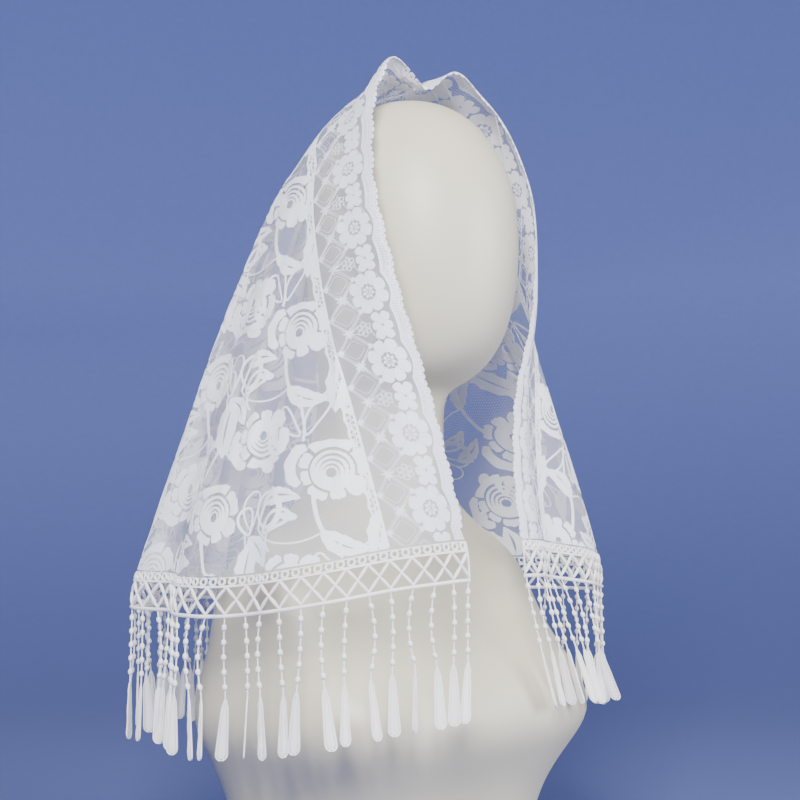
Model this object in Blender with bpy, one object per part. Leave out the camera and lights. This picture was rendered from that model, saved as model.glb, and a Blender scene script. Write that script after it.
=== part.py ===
"""A white lace head shawl lying over a plain display bust.

Metres, +Z up. The bust stands on the plane z = 0 with its neck axis at the origin and faces -Y, so its
right side is at -X. The shawl is a half-round of rose lace with a scalloped strip along its straight
front edge and a braid of crosses with a beaded fringe along its curved hem.

The shawl hangs in fall lines. They leave the middle of the front edge, over the crown, like the ribs of
a fan, and reach the hem. A fall line is named by its turn: -1 is the front edge at the bust's right,
0 the middle of the back and +1 the front edge at its left. Laid flat, the fan is half a disc.
"""
import math

import bmesh
import bpy
import numpy as np

# ---- sizes -------------------------------------------------------------------------------------
CLOTH_WALL = 0.0012          # thickness of the lace walls
SEAM_GAP = 0.0003            # between two pieces at a seam
TRIM_WIDTH = 0.058           # of the strip along the front edge, to the crests of its scallops
SCALLOPS = 32                # along the whole front edge
FIRST_NOTCH = 1 / 3          # of a scallop, from the edge's right end to its first notch
SCALLOP_DEPTH = 0.0026
BRAID_HEIGHT = 0.0255        # ring row and crosses, without the lower cord
RING_ROW_HEIGHT = 0.0062
FOOT_HEIGHT = 0.0022         # of the plain edge under the crosses
CROSS_BAR = 0.0018           # width of one bar of a cross
CROSSES = 90                 # along the whole hem
CORD_HEIGHT = 0.0024
CORD_THICKNESS = 0.0020
STRING_LENGTH = 0.052        # from the lower cord to the top of a petal loop
STRING_WIDTH = 0.0022
PETAL_LENGTH = 0.044
PETAL_WIDTH = 0.0098
PETAL_THICKNESS = 0.0018
PETAL_BROADEST = 0.72        # share of a petal's length at which it is broadest
PETAL_TIP = 0.45             # width of its blunt tip, as a share of its broadest
STRING_CLEARANCE = 0.009     # of the strings from the bust that they fall past

# ---- how the shawl hangs -------------------------------------------------------------------------
# The middle of the front edge, over the crown, and how the edge stands up or dips near it.
CROWN_FRONT = (-0.003, -0.051, 0.628)
CROWN_COLUMNS = ("across", "reach", "rise")
CROWN_FORMS = (
    (-0.036, 0.016, 0.010),  # a peak at the right
    (0.003, 0.014, -0.013),  # the dip in the middle
    (0.027, 0.018, 0.009),   # a peak at the left
)
CROWN_DEPTH = 0.022          # how far back from the edge these forms reach

# One row for each level section: the front edge at the bust's right and left, the half widths at the
# two sides, and where the section passes the sides and the back.
SECTION_COLUMNS = (
    "right_x", "right_y", "right_z", "left_x", "left_y", "left_z",
    "right_half", "left_half", "side_y", "side_z", "back_y", "back_z",
)
SECTIONS = {
    "brow": (-0.042, -0.051, 0.622, 0.041, -0.071, 0.612, 0.047, 0.062, -0.020, 0.603, 0.014, 0.603),
    "temple": (-0.085, -0.073, 0.550, 0.084, -0.083, 0.550, 0.086, 0.096, -0.015, 0.547, 0.064, 0.547),
    "cheek": (-0.097, -0.106, 0.460, 0.091, -0.083, 0.460, 0.120, 0.122, -0.010, 0.460, 0.110, 0.460),
    "chin": (-0.089, -0.134, 0.368, 0.051, -0.095, 0.368, 0.156, 0.171, -0.010, 0.365, 0.144, 0.360),
    "hem": (-0.081, -0.158, 0.271, 0.021, -0.126, 0.268, 0.203, 0.208, -0.022, 0.246, 0.180, 0.243),
}

# How the cloth is shared out round a section: the share of a quarter turn from the front edge, and the
# place it reaches, where 0 is the front edge, 1 the side and 2 the back.
SHARING = (
    # share, place at the right, place at the left
    (0.00, 0.00, 0.00),
    (0.09, 0.30, 0.22),
    (0.28, 0.93, 0.85),
    (0.47, 1.36, 1.36),
    (1.00, 2.00, 2.00),
)

# Each row is the hollow between two folds: where it lies, how wide and how deep it is at the hem, and
# the share of the fall line at which it begins.
HOLLOW_COLUMNS = ("turn", "half_width", "depth", "start")
HOLLOWS = (
    (-0.905, 0.060, 0.006, 0.45),
    (-0.755, 0.060, 0.008, 0.40),
    (-0.610, 0.070, 0.016, 0.30),
    (-0.455, 0.078, 0.024, 0.20),
    (-0.300, 0.074, 0.037, 0.14),
    (-0.158, 0.068, 0.040, 0.12),
    (-0.010, 0.080, 0.044, 0.12),
    (0.148, 0.076, 0.041, 0.12),
    (0.290, 0.066, 0.036, 0.14),
    (0.440, 0.084, 0.038, 0.12),
    (0.610, 0.072, 0.020, 0.25),
    (0.895, 0.080, 0.014, 0.28),
)

# ---- the bust ------------------------------------------------------------------------------------
# One row for each level section: height, half width, how far it reaches to the front and the back, and
# how square it is, where 2 is an ellipse.
BUST_COLUMNS = ("height", "half_width", "front", "back", "squareness")
BUST_SECTIONS = (
    (0.000, 0.112, -0.092, 0.078, 2.3),
    (0.006, 0.116, -0.095, 0.081, 2.3),
    (0.060, 0.124, -0.105, 0.083, 2.5),
    (0.085, 0.131, -0.113, 0.084, 2.7),
    (0.108, 0.143, -0.126, 0.085, 2.9),
    (0.132, 0.159, -0.141, 0.086, 3.0),
    (0.160, 0.157, -0.134, 0.086, 2.8),
    (0.190, 0.149, -0.110, 0.085, 2.5),
    (0.215, 0.150, -0.090, 0.083, 2.3),
    (0.238, 0.150, -0.075, 0.076, 2.2),
    (0.258, 0.136, -0.063, 0.068, 2.1),
    (0.275, 0.105, -0.055, 0.062, 2.0),
    (0.290, 0.079, -0.051, 0.058, 2.0),
    (0.305, 0.064, -0.049, 0.053, 2.0),
    (0.330, 0.056, -0.047, 0.050, 2.0),
    (0.368, 0.053, -0.047, 0.046, 2.0),
    (0.382, 0.053, -0.052, 0.045, 2.0),
    (0.387, 0.055, -0.066, 0.045, 2.0),
    (0.393, 0.058, -0.081, 0.046, 2.0),
    (0.404, 0.062, -0.097, 0.047, 2.0),
    (0.422, 0.068, -0.110, 0.050, 2.0),
    (0.450, 0.074, -0.119, 0.053, 2.0),
    (0.490, 0.077, -0.123, 0.055, 2.0),
    (0.530, 0.076, -0.119, 0.051, 2.0),
    (0.558, 0.069, -0.108, 0.042, 2.0),
    (0.580, 0.058, -0.093, 0.028, 2.0),
    (0.596, 0.043, -0.076, 0.010, 2.0),
    (0.605, 0.024, -0.056, -0.011, 2.0),
)
BUST_TOP = (0.0, -0.035, 0.6075)
BUST_SIDES = 28
TORSO_TOP = 0.300            # below this height the sections are centred on the neck axis

# ---- how finely the walls are divided ------------------------------------------------------------
PARTS_PER_SCALLOP = 3        # the seam is divided so in the strip and in the rose lace
TRIM_ROWS = 3
BODY_COLUMNS = 96
BODY_ROWS = 10
SWEEP = 5                    # how soon a column of the rose lace comes to lie along its fall line
FOLDED_TO = 0.50             # turns between which the columns change to straight rays
PLAIN_FROM = 0.85
POLE_MARGIN = 0.004          # the seam has no division this near the pole
ARC_STEPS = 24               # in measuring a quarter ellipse
FALL_STEPS = 24              # in measuring a fall line
LEAN_STEPS = 24              # in testing a string against the bust
TURN_STEP = 0.004            # of turn, in finding the way along a section
FLAT_STEP = 0.002            # in the flat cut, in finding the way out of the cloth
SHARP_ANGLE = 50             # degrees, above which an edge is shaded sharp


# ---- the hang ------------------------------------------------------------------------------------
def smooth(share):
    """A share that starts and ends gently."""
    return share * share * (3 - 2 * share)


def hermite(t, step, start, end, start_slope, end_slope):
    """A cubic from start to end over step, at t from 0 to 1."""
    return (
        start * (1 + 2 * t) * (1 - t) ** 2
        + start_slope * step * t * (1 - t) ** 2
        + end * t * t * (3 - 2 * t)
        + end_slope * step * t * t * (t - 1)
    )


def rising(knots, values, at):
    """A smooth curve through rising values that never turns back."""
    steps = np.diff(knots)
    rises = np.diff(values) / steps
    slopes = np.empty(len(knots))
    slopes[0], slopes[-1] = rises[0], rises[-1]
    for i in range(1, len(knots) - 1):
        before = 2 * steps[i] + steps[i - 1]
        after = steps[i] + 2 * steps[i - 1]
        slopes[i] = (before + after) / (before / rises[i - 1] + after / rises[i])
    i = int(np.clip(np.searchsorted(knots, at) - 1, 0, len(steps) - 1))
    t = (at - knots[i]) / steps[i]
    return hermite(t, steps[i], values[i], values[i + 1], slopes[i], slopes[i + 1])


def arc_angle(across, along, share):
    """The angle at which a quarter ellipse of these half axes has this share of its length behind it."""
    angles = np.linspace(0, math.pi / 2, ARC_STEPS + 1)
    middles = (angles[1:] + angles[:-1]) / 2
    parts = np.hypot(across * np.cos(middles), along * np.sin(middles))
    lengths = np.concatenate(([0], np.cumsum(parts)))
    return float(np.interp(share * lengths[-1], lengths, angles))


def section_point(row, turn):
    """Where the fall line of this turn crosses one section."""
    size = dict(zip(SECTION_COLUMNS, row))
    side, sign, column = ("right", -1, 1) if turn < 0 else ("left", 1, 2)
    knots = [line[0] for line in SHARING]
    place = rising(knots, [line[column] for line in SHARING], 1 - abs(turn))
    edge = [size[side + axis] for axis in ("_x", "_y", "_z")]
    half = size[side + "_half"]
    if place <= 1:
        angle = arc_angle(half - abs(edge[0]), size["side_y"] - edge[1], place)
        x = edge[0] + sign * (half - abs(edge[0])) * math.sin(angle)
        y = size["side_y"] + (edge[1] - size["side_y"]) * math.cos(angle)
        z = edge[2] + (size["side_z"] - edge[2]) * smooth(place)
    else:
        angle = arc_angle(size["back_y"] - size["side_y"], half, place - 1)
        x = sign * half * math.cos(angle)
        y = size["side_y"] + (size["back_y"] - size["side_y"]) * math.sin(angle)
        z = size["side_z"] + (size["back_z"] - size["side_z"]) * smooth(place - 1)
    return np.array((x, y, z))


FALL_CACHE = {}


def fall_line(turn):
    """The points of one fall line, the share of its length at each, and its slopes there."""
    key = round(turn, 9)
    if key not in FALL_CACHE:
        points = np.array([CROWN_FRONT] + [section_point(row, turn) for row in SECTIONS.values()])
        shares = np.concatenate(([0], np.cumsum(np.linalg.norm(np.diff(points, axis=0), axis=1))))
        shares /= shares[-1]
        slopes = np.gradient(points, shares, axis=0, edge_order=2)
        FALL_CACHE[key] = (points, shares, slopes)
    return FALL_CACHE[key]


def on_fall_line(turn, share):
    points, shares, slopes = fall_line(turn)
    i = int(np.clip(np.searchsorted(shares, share) - 1, 0, len(shares) - 2))
    step = shares[i + 1] - shares[i]
    t = (share - shares[i]) / step
    return hermite(t, step, points[i], points[i + 1], slopes[i], slopes[i + 1])


LENGTH_CACHE = {}


def fall_length(turn):
    """The length of a fall line from the crown to the hem, which is the flat cut's radius there."""
    key = round(turn, 9)
    if key not in LENGTH_CACHE:
        line = np.array([on_fall_line(turn, i / FALL_STEPS) for i in range(FALL_STEPS + 1)])
        LENGTH_CACHE[key] = float(np.linalg.norm(np.diff(line, axis=0), axis=1).sum())
    return LENGTH_CACHE[key]


def hollow_depth(turn, share):
    total = 0.0
    for row in HOLLOWS:
        hollow = dict(zip(HOLLOW_COLUMNS, row))
        away = abs(turn - hollow["turn"]) / hollow["half_width"]
        grown = max(0.0, (share - hollow["start"]) / (1 - hollow["start"]))
        if away < 1:
            total += hollow["depth"] * (math.cos(math.pi * away) + 1) / 2 * grown
    return total


def draped(turn, share):
    """A point of the hung cloth, on the fall line of this turn, at this share of its length."""
    point = on_fall_line(turn, share)
    before = on_fall_line(max(-1.0, turn - TURN_STEP), share)
    after = on_fall_line(min(1.0, turn + TURN_STEP), share)
    along = after - before
    run = math.hypot(along[0], along[1])
    if run > 1e-9:
        inward = np.array((along[1], -along[0], 0.0)) / run
        point = point + inward * hollow_depth(turn, share)
    return point


def hung(across, down):
    """The place in space of a point of the flat cut: across along the front edge, down toward the hem."""
    radius = math.hypot(across, down)
    turn = math.copysign(1 - math.atan2(down, abs(across)) / (math.pi / 2), across)
    point = draped(turn, radius / fall_length(turn))
    for row in CROWN_FORMS:
        form = dict(zip(CROWN_COLUMNS, row))
        away = (across - form["across"]) / form["reach"]
        point[2] += form["rise"] * math.exp(-(away**2 + (down / CROWN_DEPTH) ** 2))
    return point


def flat_point(turn, share):
    """Where the fall line of this turn lies in the flat cut."""
    angle = (1 - abs(turn)) * math.pi / 2
    radius = fall_length(turn) * share
    return math.copysign(radius * math.cos(angle), turn), radius * math.sin(angle)


def outward(across, down):
    """The direction out of the cloth at a point of the flat cut."""
    along = hung(across + FLAT_STEP, down) - hung(across - FLAT_STEP, down)
    away = hung(across, down + FLAT_STEP) - hung(across, max(0.0, down - FLAT_STEP))
    normal = np.cross(along, away)
    return normal / np.linalg.norm(normal)


# ---- closed walls --------------------------------------------------------------------------------
def both_sides(bm, across, down):
    """The outer and the inner vertex of the wall at a point of the flat cut."""
    point, half = hung(across, down), outward(across, down) * CLOTH_WALL / 2
    return bm.verts.new(point + half), bm.verts.new(point - half)


def close_wall(bm, faces):
    """Makes the outer and inner faces, and joins them along every edge that only one face uses."""
    free = {}
    for corners in faces:
        bm.faces.new([corner[0] for corner in corners])
        bm.faces.new([corner[1] for corner in reversed(corners)])
        for one, two in zip(corners, corners[1:] + corners[:1]):
            key = frozenset((one[0].index, two[0].index))
            if free.pop(key, None) is None:
                free[key] = (one, two)
    for one, two in free.values():
        bm.faces.new((one[0], one[1], two[1], two[0]))


def finish(name, bm, colour, roughness):
    """One closed object from a bmesh, with its faces outward and its own material."""
    bmesh.ops.recalc_face_normals(bm, faces=bm.faces)
    if bm.calc_volume(signed=True) < 0:
        bmesh.ops.reverse_faces(bm, faces=bm.faces)
    mesh = bpy.data.meshes.new(name)
    bm.to_mesh(mesh)
    bm.free()
    mesh.shade_smooth()
    mesh.set_sharp_from_angle(angle=math.radians(SHARP_ANGLE))
    material = bpy.data.materials.new(name)
    material.use_nodes = True
    shader = material.node_tree.nodes["Principled BSDF"]
    shader.inputs["Base Color"].default_value = (*colour, 1)
    shader.inputs["Roughness"].default_value = roughness
    shader.inputs["Metallic"].default_value = 0.0
    mesh.materials.append(material)
    piece = bpy.data.objects.new(name, mesh)
    bpy.context.scene.collection.objects.link(piece)
    return piece


# ---- the pieces ------------------------------------------------------------------------------------
def scallop(share):
    """How far the scalloped edge stands back from its crests, at a share of its length."""
    return SCALLOP_DEPTH * (1 - abs(math.sin(math.pi * (share * SCALLOPS - FIRST_NOTCH))))


def end_of_strip(side, down):
    """How far along the front edge a line of the strip, down from the edge, meets the hem."""
    low, high = 0.0, 0.6
    for _ in range(40):
        middle = (low + high) / 2
        turn = side * (1 - math.atan2(down, middle) / (math.pi / 2))
        if math.hypot(middle, down) < fall_length(turn):
            low = middle
        else:
            high = middle
    return low


def seam_places():
    """Shares of the front edge at which both pieces along the seam are divided."""
    parts = SCALLOPS * PARTS_PER_SCALLOP
    return [part / parts for part in range(parts + 1)]


def across_at(share, down):
    right, left = end_of_strip(-1, down), end_of_strip(1, down)
    return -right + (right + left) * share


def make_trim():
    """The scalloped strip, one wall along the whole front edge."""
    bm = bmesh.new()
    last = TRIM_WIDTH - SEAM_GAP / 2
    rows = []
    for row in range(TRIM_ROWS + 1):
        level = row / TRIM_ROWS
        verts = []
        for share in seam_places():
            edge = scallop(share)
            down = edge + (last - edge) * level
            verts.append(both_sides(bm, across_at(share, down), down))
        rows.append(verts)
    bm.verts.index_update()
    faces = []
    for upper, lower in zip(rows, rows[1:]):
        for part in range(len(upper) - 1):
            faces.append([upper[part], upper[part + 1], lower[part + 1], lower[part]])
    close_wall(bm, faces)
    return finish("scalloped_front_trim", bm, (0.86, 0.86, 0.90), 0.8)


def body_column(hem_turn, level, pole_down):
    """A point of a column of the rose lace: it leaves the pole and soon lies along its own fall line.

    Near the ends of the seam, where the cloth hangs plain, it stays a straight ray from the pole."""
    hem_across, hem_down = flat_point(hem_turn, 1.0)
    across, down = hem_across * level, pole_down + (hem_down - pole_down) * level
    ray_turn = math.copysign(1 - math.atan2(down, abs(across)) / (math.pi / 2), across)
    plain = smooth(min(max((abs(hem_turn) - FOLDED_TO) / (PLAIN_FROM - FOLDED_TO), 0.0), 1.0))
    hold = plain + (1 - plain) * (1 - level) ** SWEEP
    turn = hem_turn + (ray_turn - hem_turn) * hold
    return flat_point(turn, math.hypot(across, down) / fall_length(ray_turn))


def zip_columns(pole, first, second):
    """Triangles between two columns that leave one pole, each a list of (level, corner)."""
    faces = [[pole, first[0][1], second[0][1]]]
    i = j = 0
    while i < len(first) - 1 or j < len(second) - 1:
        step_first = j == len(second) - 1 or (i < len(first) - 1 and first[i + 1][0] <= second[j + 1][0])
        if step_first:
            faces.append([first[i][1], first[i + 1][1], second[j][1]])
            i += 1
        else:
            faces.append([first[i][1], second[j + 1][1], second[j][1]])
            j += 1
    return faces


def make_body():
    """The rose lace: columns that fan out from a pole in the middle of its seam to the hem."""
    start = TRIM_WIDTH + SEAM_GAP / 2
    right, left = end_of_strip(-1, start), end_of_strip(1, start)
    first = -(1 - math.atan2(start, right) / (math.pi / 2))
    last = 1 - math.atan2(start, left) / (math.pi / 2)
    turns, _ = hem_turns(BODY_COLUMNS, first, last)
    bm = bmesh.new()
    pole = both_sides(bm, 0.0, start)
    levels = [(row + 1) / BODY_ROWS for row in range(BODY_ROWS)]
    columns = []
    for turn in turns[1:-1]:
        columns.append([(level, both_sides(bm, *body_column(turn, level, start))) for level in levels])
    seam = [across_at(share, start) for share in seam_places()]
    at_right = [across for across in seam[::-1] if across < -POLE_MARGIN]
    at_left = [across for across in seam if across > POLE_MARGIN]
    right_seam = [(across / -right, both_sides(bm, across, start)) for across in at_right]
    left_seam = [(across / left, both_sides(bm, across, start)) for across in at_left]
    bm.verts.index_update()
    faces = zip_columns(pole, right_seam, columns[0])
    faces += [face[::-1] for face in zip_columns(pole, left_seam, columns[-1])]
    for one, two in zip(columns, columns[1:]):
        faces.append([pole, one[0][1], two[0][1]])
        for row in range(BODY_ROWS - 1):
            faces.append([one[row][1], one[row + 1][1], two[row + 1][1], two[row][1]])
    close_wall(bm, faces)
    return finish("rose_lace_body", bm, (0.82, 0.82, 0.87), 0.8)


def hem_turns(count, first=-1.0, last=1.0):
    """Turns that share the hung hem out evenly, and its length."""
    fine = np.linspace(first, last, 601)
    line = np.array([draped(turn, 1.0) for turn in fine])
    lengths = np.concatenate(([0], np.cumsum(np.linalg.norm(np.diff(line, axis=0), axis=1))))
    return np.interp(np.linspace(0, lengths[-1], count + 1), lengths, fine), float(lengths[-1])


def below_hem(turn, drop):
    """A point of the braid under the hem: it leaves along the fall line and turns straight down."""
    hem = draped(turn, 1.0)
    slope = hem - draped(turn, 0.99)
    slope = slope / np.linalg.norm(slope)
    bend = min(drop, BRAID_HEIGHT)
    plumb = np.array((0.0, 0.0, -1.0))
    turned = slope * bend + (plumb - slope) * bend * bend / (2 * BRAID_HEIGHT)
    return hem + turned + plumb * max(0.0, drop - BRAID_HEIGHT)


def hem_outward(turn):
    """The level direction out of the cloth at the hem."""
    along = draped(min(1.0, turn + TURN_STEP), 1.0) - draped(max(-1.0, turn - TURN_STEP), 1.0)
    out = np.array((-along[1], along[0], 0.0))
    return out / np.linalg.norm(out)


def make_braid(turns, pitch):
    """The ring row and the crosses under it, with every gap between the bars cut through."""
    count = len(turns) - 1
    foot = BRAID_HEIGHT - FOOT_HEIGHT
    middle = (RING_ROW_HEIGHT + foot) / 2
    wide, tall = CROSS_BAR * 0.75, CROSS_BAR
    bm = bmesh.new()
    made = {}

    def corner(place, drop):
        key = (round(place, 4), round(drop, 6))
        if key not in made:
            turn = float(np.interp(place, range(count + 1), turns))
            point, half = below_hem(turn, drop), hem_outward(turn) * CLOTH_WALL / 2
            made[key] = bm.verts.new(point + half), bm.verts.new(point - half)
        return made[key]

    outlines = []
    for cross in range(count):
        a, b, c = float(cross), float(cross + 1), cross + 0.5
        bar = CROSS_BAR / pitch
        upper = [(place, RING_ROW_HEIGHT) for place in (a, a + bar, b - bar, b)]
        lower = [(place, foot) for place in (a, a + bar, b - bar, b)]
        reach = wide / pitch
        heart = [(c, middle - tall), (c + reach, middle), (c, middle + tall), (c - reach, middle)]
        outlines += [
            [(a, SEAM_GAP * 1.5), *upper, (b, SEAM_GAP * 1.5)],
            [(b, BRAID_HEIGHT), *lower[::-1], (a, BRAID_HEIGHT)],
            heart[::-1],
            [upper[0], heart[3], heart[0], upper[1]],
            [upper[2], heart[0], heart[1], upper[3]],
            [lower[1], heart[2], heart[3], lower[0]],
            [lower[3], heart[1], heart[2], lower[2]],
        ]
    corners = [[corner(*spot) for spot in outline] for outline in outlines]
    bm.verts.index_update()
    close_wall(bm, corners)
    return finish("lattice_band", bm, (0.90, 0.89, 0.87), 0.75)


def bust_outline(height):
    """The bust's half width, front, back and squareness at a height."""
    heights = [row[0] for row in BUST_SECTIONS]
    return [float(np.interp(height, heights, [row[i] for row in BUST_SECTIONS])) for i in (1, 2, 3, 4)]


def bust_reach(point):
    """How far out from the neck axis the bust comes at this height, in the direction of this point."""
    half, front, back, squareness = bust_outline(point[2])
    ahead = back if point[1] > 0 else front
    angle = math.atan2(point[1], point[0])
    across, deep = abs(math.cos(angle)) / half, abs(math.sin(angle) / ahead)
    return (across**squareness + deep**squareness) ** (-1 / squareness)


def string_lean(root, length):
    """How much a string leans out, for each metre of drop, to lie clear of the bust."""
    lean = 0.0
    for step in range(LEAN_STEPS // 6, LEAN_STEPS + 1):
        drop = length * step / LEAN_STEPS
        short = bust_reach(root - np.array((0, 0, drop))) + STRING_CLEARANCE - math.hypot(root[0], root[1])
        lean = max(lean, short / drop)
    return lean


def make_fringe(turns, pitch):
    """The lower cord with a string and a petal loop hanging at every foot of the crosses."""
    count = len(turns) - 1
    top = BRAID_HEIGHT + SEAM_GAP
    bottom = top + CORD_HEIGHT
    bm = bmesh.new()
    half = STRING_WIDTH / 2 / pitch
    middles = [half] + [float(i) for i in range(1, count)] + [count - half]
    places = [place for middle in middles for place in (middle - half, middle + half)]
    rings = []
    for place in places:
        turn = float(np.interp(place, range(count + 1), turns))
        out = hem_outward(turn) * CORD_THICKNESS / 2
        high, low = below_hem(turn, top), below_hem(turn, bottom)
        rings.append([bm.verts.new(point) for point in (high + out, high - out, low - out, low + out)])
    bm.faces.new(rings[0])
    bm.faces.new(rings[-1][::-1])
    for k, (one, two) in enumerate(zip(rings, rings[1:])):
        for side in range(4):
            after = (side + 1) % 4
            if side == 2 and k % 2 == 0:
                continue
            bm.faces.new((one[side], two[side], two[after], one[after]))
    for k in range(0, len(rings) - 1, 2):
        place = (places[k] + places[k + 1]) / 2
        turn = float(np.interp(place, range(count + 1), turns))
        root = below_hem(turn, bottom)
        out = hem_outward(turn)
        along = np.array((out[1], -out[0], 0.0))
        one, two = rings[k], rings[k + 1]
        ring = [one[2], one[3], two[3], two[2]]
        lean = string_lean(root, STRING_LENGTH + PETAL_LENGTH)
        away = np.array((root[0], root[1], 0.0)) / math.hypot(root[0], root[1])
        shape = (
            (STRING_LENGTH, STRING_WIDTH, STRING_WIDTH),
            (STRING_LENGTH + PETAL_LENGTH * PETAL_BROADEST, PETAL_WIDTH, PETAL_THICKNESS),
            (STRING_LENGTH + PETAL_LENGTH, PETAL_WIDTH * PETAL_TIP, PETAL_THICKNESS),
        )
        for drop, width, depth in shape:
            centre = root - np.array((0, 0, drop)) + away * lean * drop
            broad, deep = along * width / 2, out * depth / 2
            corners = (centre - broad, centre + deep, centre + broad, centre - deep)
            fresh = match(ring, [bm.verts.new(corner) for corner in corners])
            for side in range(4):
                after = (side + 1) % 4
                bm.faces.new((ring[side], ring[after], fresh[after], fresh[side]))
            ring = fresh
        bm.faces.new(ring)
    return finish("beaded_fringe", bm, (0.92, 0.91, 0.89), 0.7)


def match(ring, fresh):
    """Turns and, if needed, reverses a ring of four so that its corners lie nearest the ring before."""
    best = None
    for order in (fresh, fresh[::-1]):
        for start in range(4):
            turned = order[start:] + order[:start]
            flat = [(a.co.xy - b.co.xy).length_squared for a, b in zip(ring, turned)]
            if best is None or sum(flat) < best[0] - 1e-15:
                best = (sum(flat), turned)
    return best[1]


def make_bust():
    """The plain form: head, neck and shoulders in one smooth skin, closed by a flat base."""
    bm = bmesh.new()
    rings = []
    for height, half, front, back, squareness in BUST_SECTIONS:
        middle = 0.0 if height < TORSO_TOP else (front + back) / 2
        ring = []
        for side in range(BUST_SIDES):
            angle = 2 * math.pi * (side + 0.5) / BUST_SIDES
            across, ahead = math.cos(angle), math.sin(angle)
            reach = back - middle if ahead > 0 else middle - front
            power = 2 / squareness
            x = half * math.copysign(abs(across) ** power, across)
            y = middle + reach * math.copysign(abs(ahead) ** power, ahead)
            ring.append(bm.verts.new((x, y, height)))
        rings.append(ring)
    for low, high in zip(rings, rings[1:]):
        for side in range(BUST_SIDES):
            after = (side + 1) % BUST_SIDES
            bm.faces.new((low[side], low[after], high[after], high[side]))
    bm.faces.new(rings[0][::-1])
    top = bm.verts.new(BUST_TOP)
    for side in range(BUST_SIDES):
        bm.faces.new((rings[-1][side], rings[-1][(side + 1) % BUST_SIDES], top))
    return finish("display_bust", bm, (0.80, 0.77, 0.70), 0.5)


def main():
    for thing in list(bpy.data.objects):
        bpy.data.objects.remove(thing)
    make_bust()
    make_body()
    make_trim()
    turns, hem = hem_turns(CROSSES)
    make_braid(turns, hem / CROSSES)
    make_fringe(turns, hem / CROSSES)
    print(f"hem {hem:.3f} m, one cross each {hem / CROSSES * 1000:.1f} mm")


main()
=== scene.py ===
# %% [markdown]
# # A lace head shawl on a plain display bust
#
# The shawl is a half-round of flowered lace, worn over the head. A scalloped strip of flower lace is sewn
# along its straight front edge, and a thick corded braid with a beaded fringe along its curved hem. The
# solids that carry it are loaded first. They fix where everything is, and the pieces made here are hung
# on the same fall lines, so nothing has to be fitted by eye.

# %% Open the frame
import math
import random

import bmesh
import bpy
import numpy as np
from mathutils import Matrix, Vector


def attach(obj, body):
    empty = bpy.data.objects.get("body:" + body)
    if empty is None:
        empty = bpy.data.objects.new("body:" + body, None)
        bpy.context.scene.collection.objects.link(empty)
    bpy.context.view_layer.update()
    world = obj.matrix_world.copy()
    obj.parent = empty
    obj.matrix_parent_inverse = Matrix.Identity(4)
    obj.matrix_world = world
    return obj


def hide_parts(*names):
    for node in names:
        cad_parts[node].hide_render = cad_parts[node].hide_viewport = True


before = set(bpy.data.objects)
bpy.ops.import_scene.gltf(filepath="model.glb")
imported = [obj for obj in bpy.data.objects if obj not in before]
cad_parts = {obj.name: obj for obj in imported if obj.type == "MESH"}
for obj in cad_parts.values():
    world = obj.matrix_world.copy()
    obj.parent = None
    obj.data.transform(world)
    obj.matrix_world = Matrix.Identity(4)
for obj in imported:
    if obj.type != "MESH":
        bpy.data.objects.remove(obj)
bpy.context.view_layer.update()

MM = 0.001
print("solids:", sorted(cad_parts))


# %% Mesh and object helpers
def as_mesh(name, bm):
    """A mesh of what was drawn. The drawing is used up."""
    mesh = bpy.data.meshes.new(name)
    bm.to_mesh(mesh)
    bm.free()
    return mesh


def face_outwards(bm):
    """Turns the faces of a closed shape outwards, and those of an open sheet to one side."""
    bmesh.ops.recalc_face_normals(bm, faces=bm.faces[:])


def add_object(name, data):
    """An object of this mesh, lamp or camera, in the scene."""
    made = bpy.data.objects.new(name, data)
    bpy.context.scene.collection.objects.link(made)
    return made


# %% [markdown]
# ## The camera and the light
#
# The camera looks up a little at the bust's right side, from an arm's length and a bit more. The room is
# a round bowl of paper, pale blue like a studio sweep, so that white lace stands out on it from every
# side. Three broad lamps give soft light with no hard shadow.

# %% Camera
LOOK_AZIMUTH, LOOK_ELEVATION = math.radians(-47), math.radians(-3)
LOOK_DISTANCE = 1.25
LOOK_HEIGHT, LOOK_ASIDE = 0.376, 0.0158
PICTURE_WIDTH_THERE = 0.632          # metres across the picture, at the distance of the bust
SENSOR = 36.0

level = math.cos(LOOK_ELEVATION)
toward_camera = Vector((math.sin(LOOK_AZIMUTH) * level, -math.cos(LOOK_AZIMUTH) * level, 0))
toward_camera.z = math.sin(LOOK_ELEVATION)
rightward = Vector((math.cos(LOOK_AZIMUTH), math.sin(LOOK_AZIMUTH), 0))
look_at = rightward * LOOK_ASIDE + Vector((0, 0, LOOK_HEIGHT))

camera_data = bpy.data.cameras.new("camera")
camera_data.sensor_width = SENSOR
camera_data.lens = SENSOR * LOOK_DISTANCE / PICTURE_WIDTH_THERE
camera = add_object("camera", camera_data)
camera.location = look_at + toward_camera * LOOK_DISTANCE
camera.rotation_euler = toward_camera.to_track_quat("Z", "Y").to_euler()
bpy.context.scene.camera = camera
print(f"camera at {[round(c, 3) for c in camera.location]}, lens {camera_data.lens:.1f} mm")


# %% Lamps and world
def add_lamp(name, place, aim, size, power, colour):
    """A square soft lamp at a place, turned to the point it lights."""
    data = bpy.data.lights.new(name, "AREA")
    data.size, data.energy, data.color = size, power, colour
    lamp = add_object(name, data)
    lamp.location = place
    lamp.rotation_euler = (Vector(place) - Vector(aim)).to_track_quat("Z", "Y").to_euler()


chest = (0, 0, 0.35)
add_lamp("key_lamp", (-1.4, -1.1, 1.3), chest, 0.7, 97, (1.0, 0.985, 0.955))
add_lamp("front_lamp", (0.75, -1.85, 0.6), (0.1, 0, 0.25), 1.2, 68, (1.0, 0.99, 0.95))
add_lamp("back_lamp", (0.8, 1.6, 1.7), chest, 1.2, 10, (0.97, 0.98, 1.0))

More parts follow.
